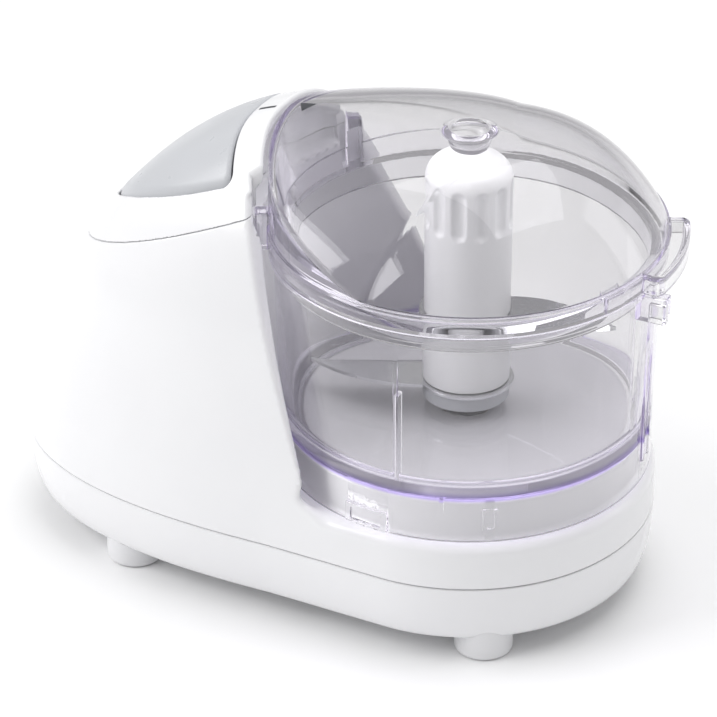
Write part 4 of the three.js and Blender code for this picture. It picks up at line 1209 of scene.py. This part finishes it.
# name: light, dark, roughness, grain and depth of the skin
MOULDED = {
    "white_satin": ((0.84, 0.84, 0.85), (0.81, 0.81, 0.825), (0.3, 0.42), 1400, 0.00003),
    "button_grey": ((0.53, 0.54, 0.565), (0.515, 0.525, 0.55), (0.26, 0.36), 1600, 0.00002),
    "mark_grey": ((0.06, 0.062, 0.07), (0.045, 0.047, 0.055), (0.45, 0.6), 2500, 0.00002),
    "foot_rubber": ((0.82, 0.82, 0.835), (0.78, 0.78, 0.8), (0.45, 0.6), 1800, 0.00004),
    "black_plastic": ((0.035, 0.036, 0.04), (0.022, 0.022, 0.026), (0.35, 0.5), 1200, 0.00004),
    "belt_rubber": ((0.03, 0.03, 0.03), (0.018, 0.018, 0.018), (0.65, 0.85), 1500, 0.00008),
    "seal_rubber": ((0.3, 0.3, 0.32), (0.24, 0.24, 0.26), (0.55, 0.7), 1500, 0.00005),
    "grey_plastic": ((0.52, 0.53, 0.56), (0.47, 0.48, 0.51), (0.35, 0.48), 1300, 0.00003),
    "board_green": ((0.04, 0.2, 0.1), (0.02, 0.13, 0.06), (0.3, 0.45), 700, 0.00003),
}
# name: light, dark, roughness, stretch of the tool marks and their scale
METALS = {
    "steel": ((0.72, 0.72, 0.74), (0.6, 0.6, 0.62), (0.18, 0.32), (1, 1, 14), 600),
    "blade_steel": ((0.8, 0.8, 0.82), (0.7, 0.7, 0.72), (0.14, 0.28), (3, 40, 3), 260),
    "motor_steel": ((0.62, 0.63, 0.66), (0.5, 0.51, 0.54), (0.3, 0.45), (1, 1, 6), 600),
    "bronze": ((0.55, 0.36, 0.19), (0.45, 0.28, 0.14), (0.35, 0.5), (1, 1, 1), 600),
}
MATERIALS = {name: moulded(name, *look) for name, look in MOULDED.items()}
MATERIALS.update({name: metal(name, *look) for name, look in METALS.items()})
MATERIALS["white_gloss"] = moulded(
    "white_gloss", (0.86, 0.86, 0.875), (0.845, 0.845, 0.862), (0.16, 0.26), 900, 0.00002,
    Coat_Weight=0.25, Coat_Roughness=0.08,
)
MATERIALS["clear_plastic"] = clear(
    "clear_plastic", (0.72, 0.6, 0.93), 18.0, (0.992, 0.992, 0.99), (0.95, 0.95, 0.955),
)

# ---- Every piece takes its node's body and slot ----
SLOT_OF = {entry["node"]: entry["material_slot"] for entry in frame["record"]["subparts"]}
BODY_OF = {
    node: body for body, members in frame["record"]["behaviour"]["bodies"].items()
    for node in members
}
for node, piece in made.items():
    piece.data.materials.clear()
    piece.data.materials.append(MATERIALS[SLOT_OF[node]])
    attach(piece, BODY_OF[node])
    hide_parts(node)
for node, (cx, cy) in SPRINGS.items():
    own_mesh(made[node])
for node, cad in frame["nodes"].items():
    if node not in made:
        cad.data.materials.clear()
        cad.data.materials.append(MATERIALS[SLOT_OF[node]])

# ---- Floor, light and camera ----
floor_mesh = bpy.data.meshes.new("floor")
floor_mesh.from_pydata([(-6, -6, 0), (6, -6, 0), (6, 6, 0), (-6, 6, 0)], [], [(0, 1, 2, 3)])
floor = linked("floor", floor_mesh)
floor.location.z = -0.0002
floor_paint = Shader("floor_paint", Roughness=0.6)
FLOOR_SHADES = ((0.3, (0.93, 0.93, 0.935)), (0.7, (0.95, 0.95, 0.955)))
floor_paint.colour(floor_paint.noise(3, 2), FLOOR_SHADES)
floor_mesh.materials.append(floor_paint.material)


def softbox(name, place, target, size, watts, glossy=True):
    light = bpy.data.lights.new(name, "AREA")
    light.shape = "RECTANGLE"
    light.size, light.size_y = size
    light.energy = watts
    lamp = linked(name, light)
    lamp.location = place
    lamp.visible_glossy = glossy
    lamp.rotation_mode = "QUATERNION"
    lamp.rotation_quaternion = (Vector(target) - Vector(place)).to_track_quat("-Z", "Y")


softbox("key", (-1.1, -0.7, 1.0), (-0.03, 0, 0.08), (1.2, 0.9), 14)
softbox("top", (0.2, 0.3, 1.45), (0, 0, 0.1), (1.5, 1.1), 13, False)
softbox("rim", (1.1, 0.8, 0.6), (0.04, 0, 0.1), (0.4, 0.9), 1)

world = bpy.data.worlds.new("studio")
world.use_nodes = True
background = world.node_tree.nodes["Background"]
background.inputs["Color"].default_value = (1, 1, 1, 1)
background.inputs["Strength"].default_value = 0.46
bpy.context.scene.world = world
bpy.context.scene.view_settings.view_transform = "Standard"

CAMERA_TURN, CAMERA_TILT = math.radians(25.0), math.radians(30.3)
CAMERA_DISTANCE = 1.3
CAMERA_LENS, CAMERA_SENSOR = 201.3, 36
AIM = Vector((0.00962, -0.01477, 0.07779))
camera_data = bpy.data.cameras.new("camera")
camera_data.sensor_width = CAMERA_SENSOR
camera_data.lens = CAMERA_LENS
camera = linked("camera", camera_data)
back = Vector((
    math.sin(CAMERA_TURN) * math.cos(CAMERA_TILT),
    -math.cos(CAMERA_TURN) * math.cos(CAMERA_TILT),
    math.sin(CAMERA_TILT),
))
camera.location = AIM + back * CAMERA_DISTANCE
camera.rotation_mode = "QUATERNION"
camera.rotation_quaternion = (-back).to_track_quat("-Z", "Y")
bpy.context.scene.camera = camera
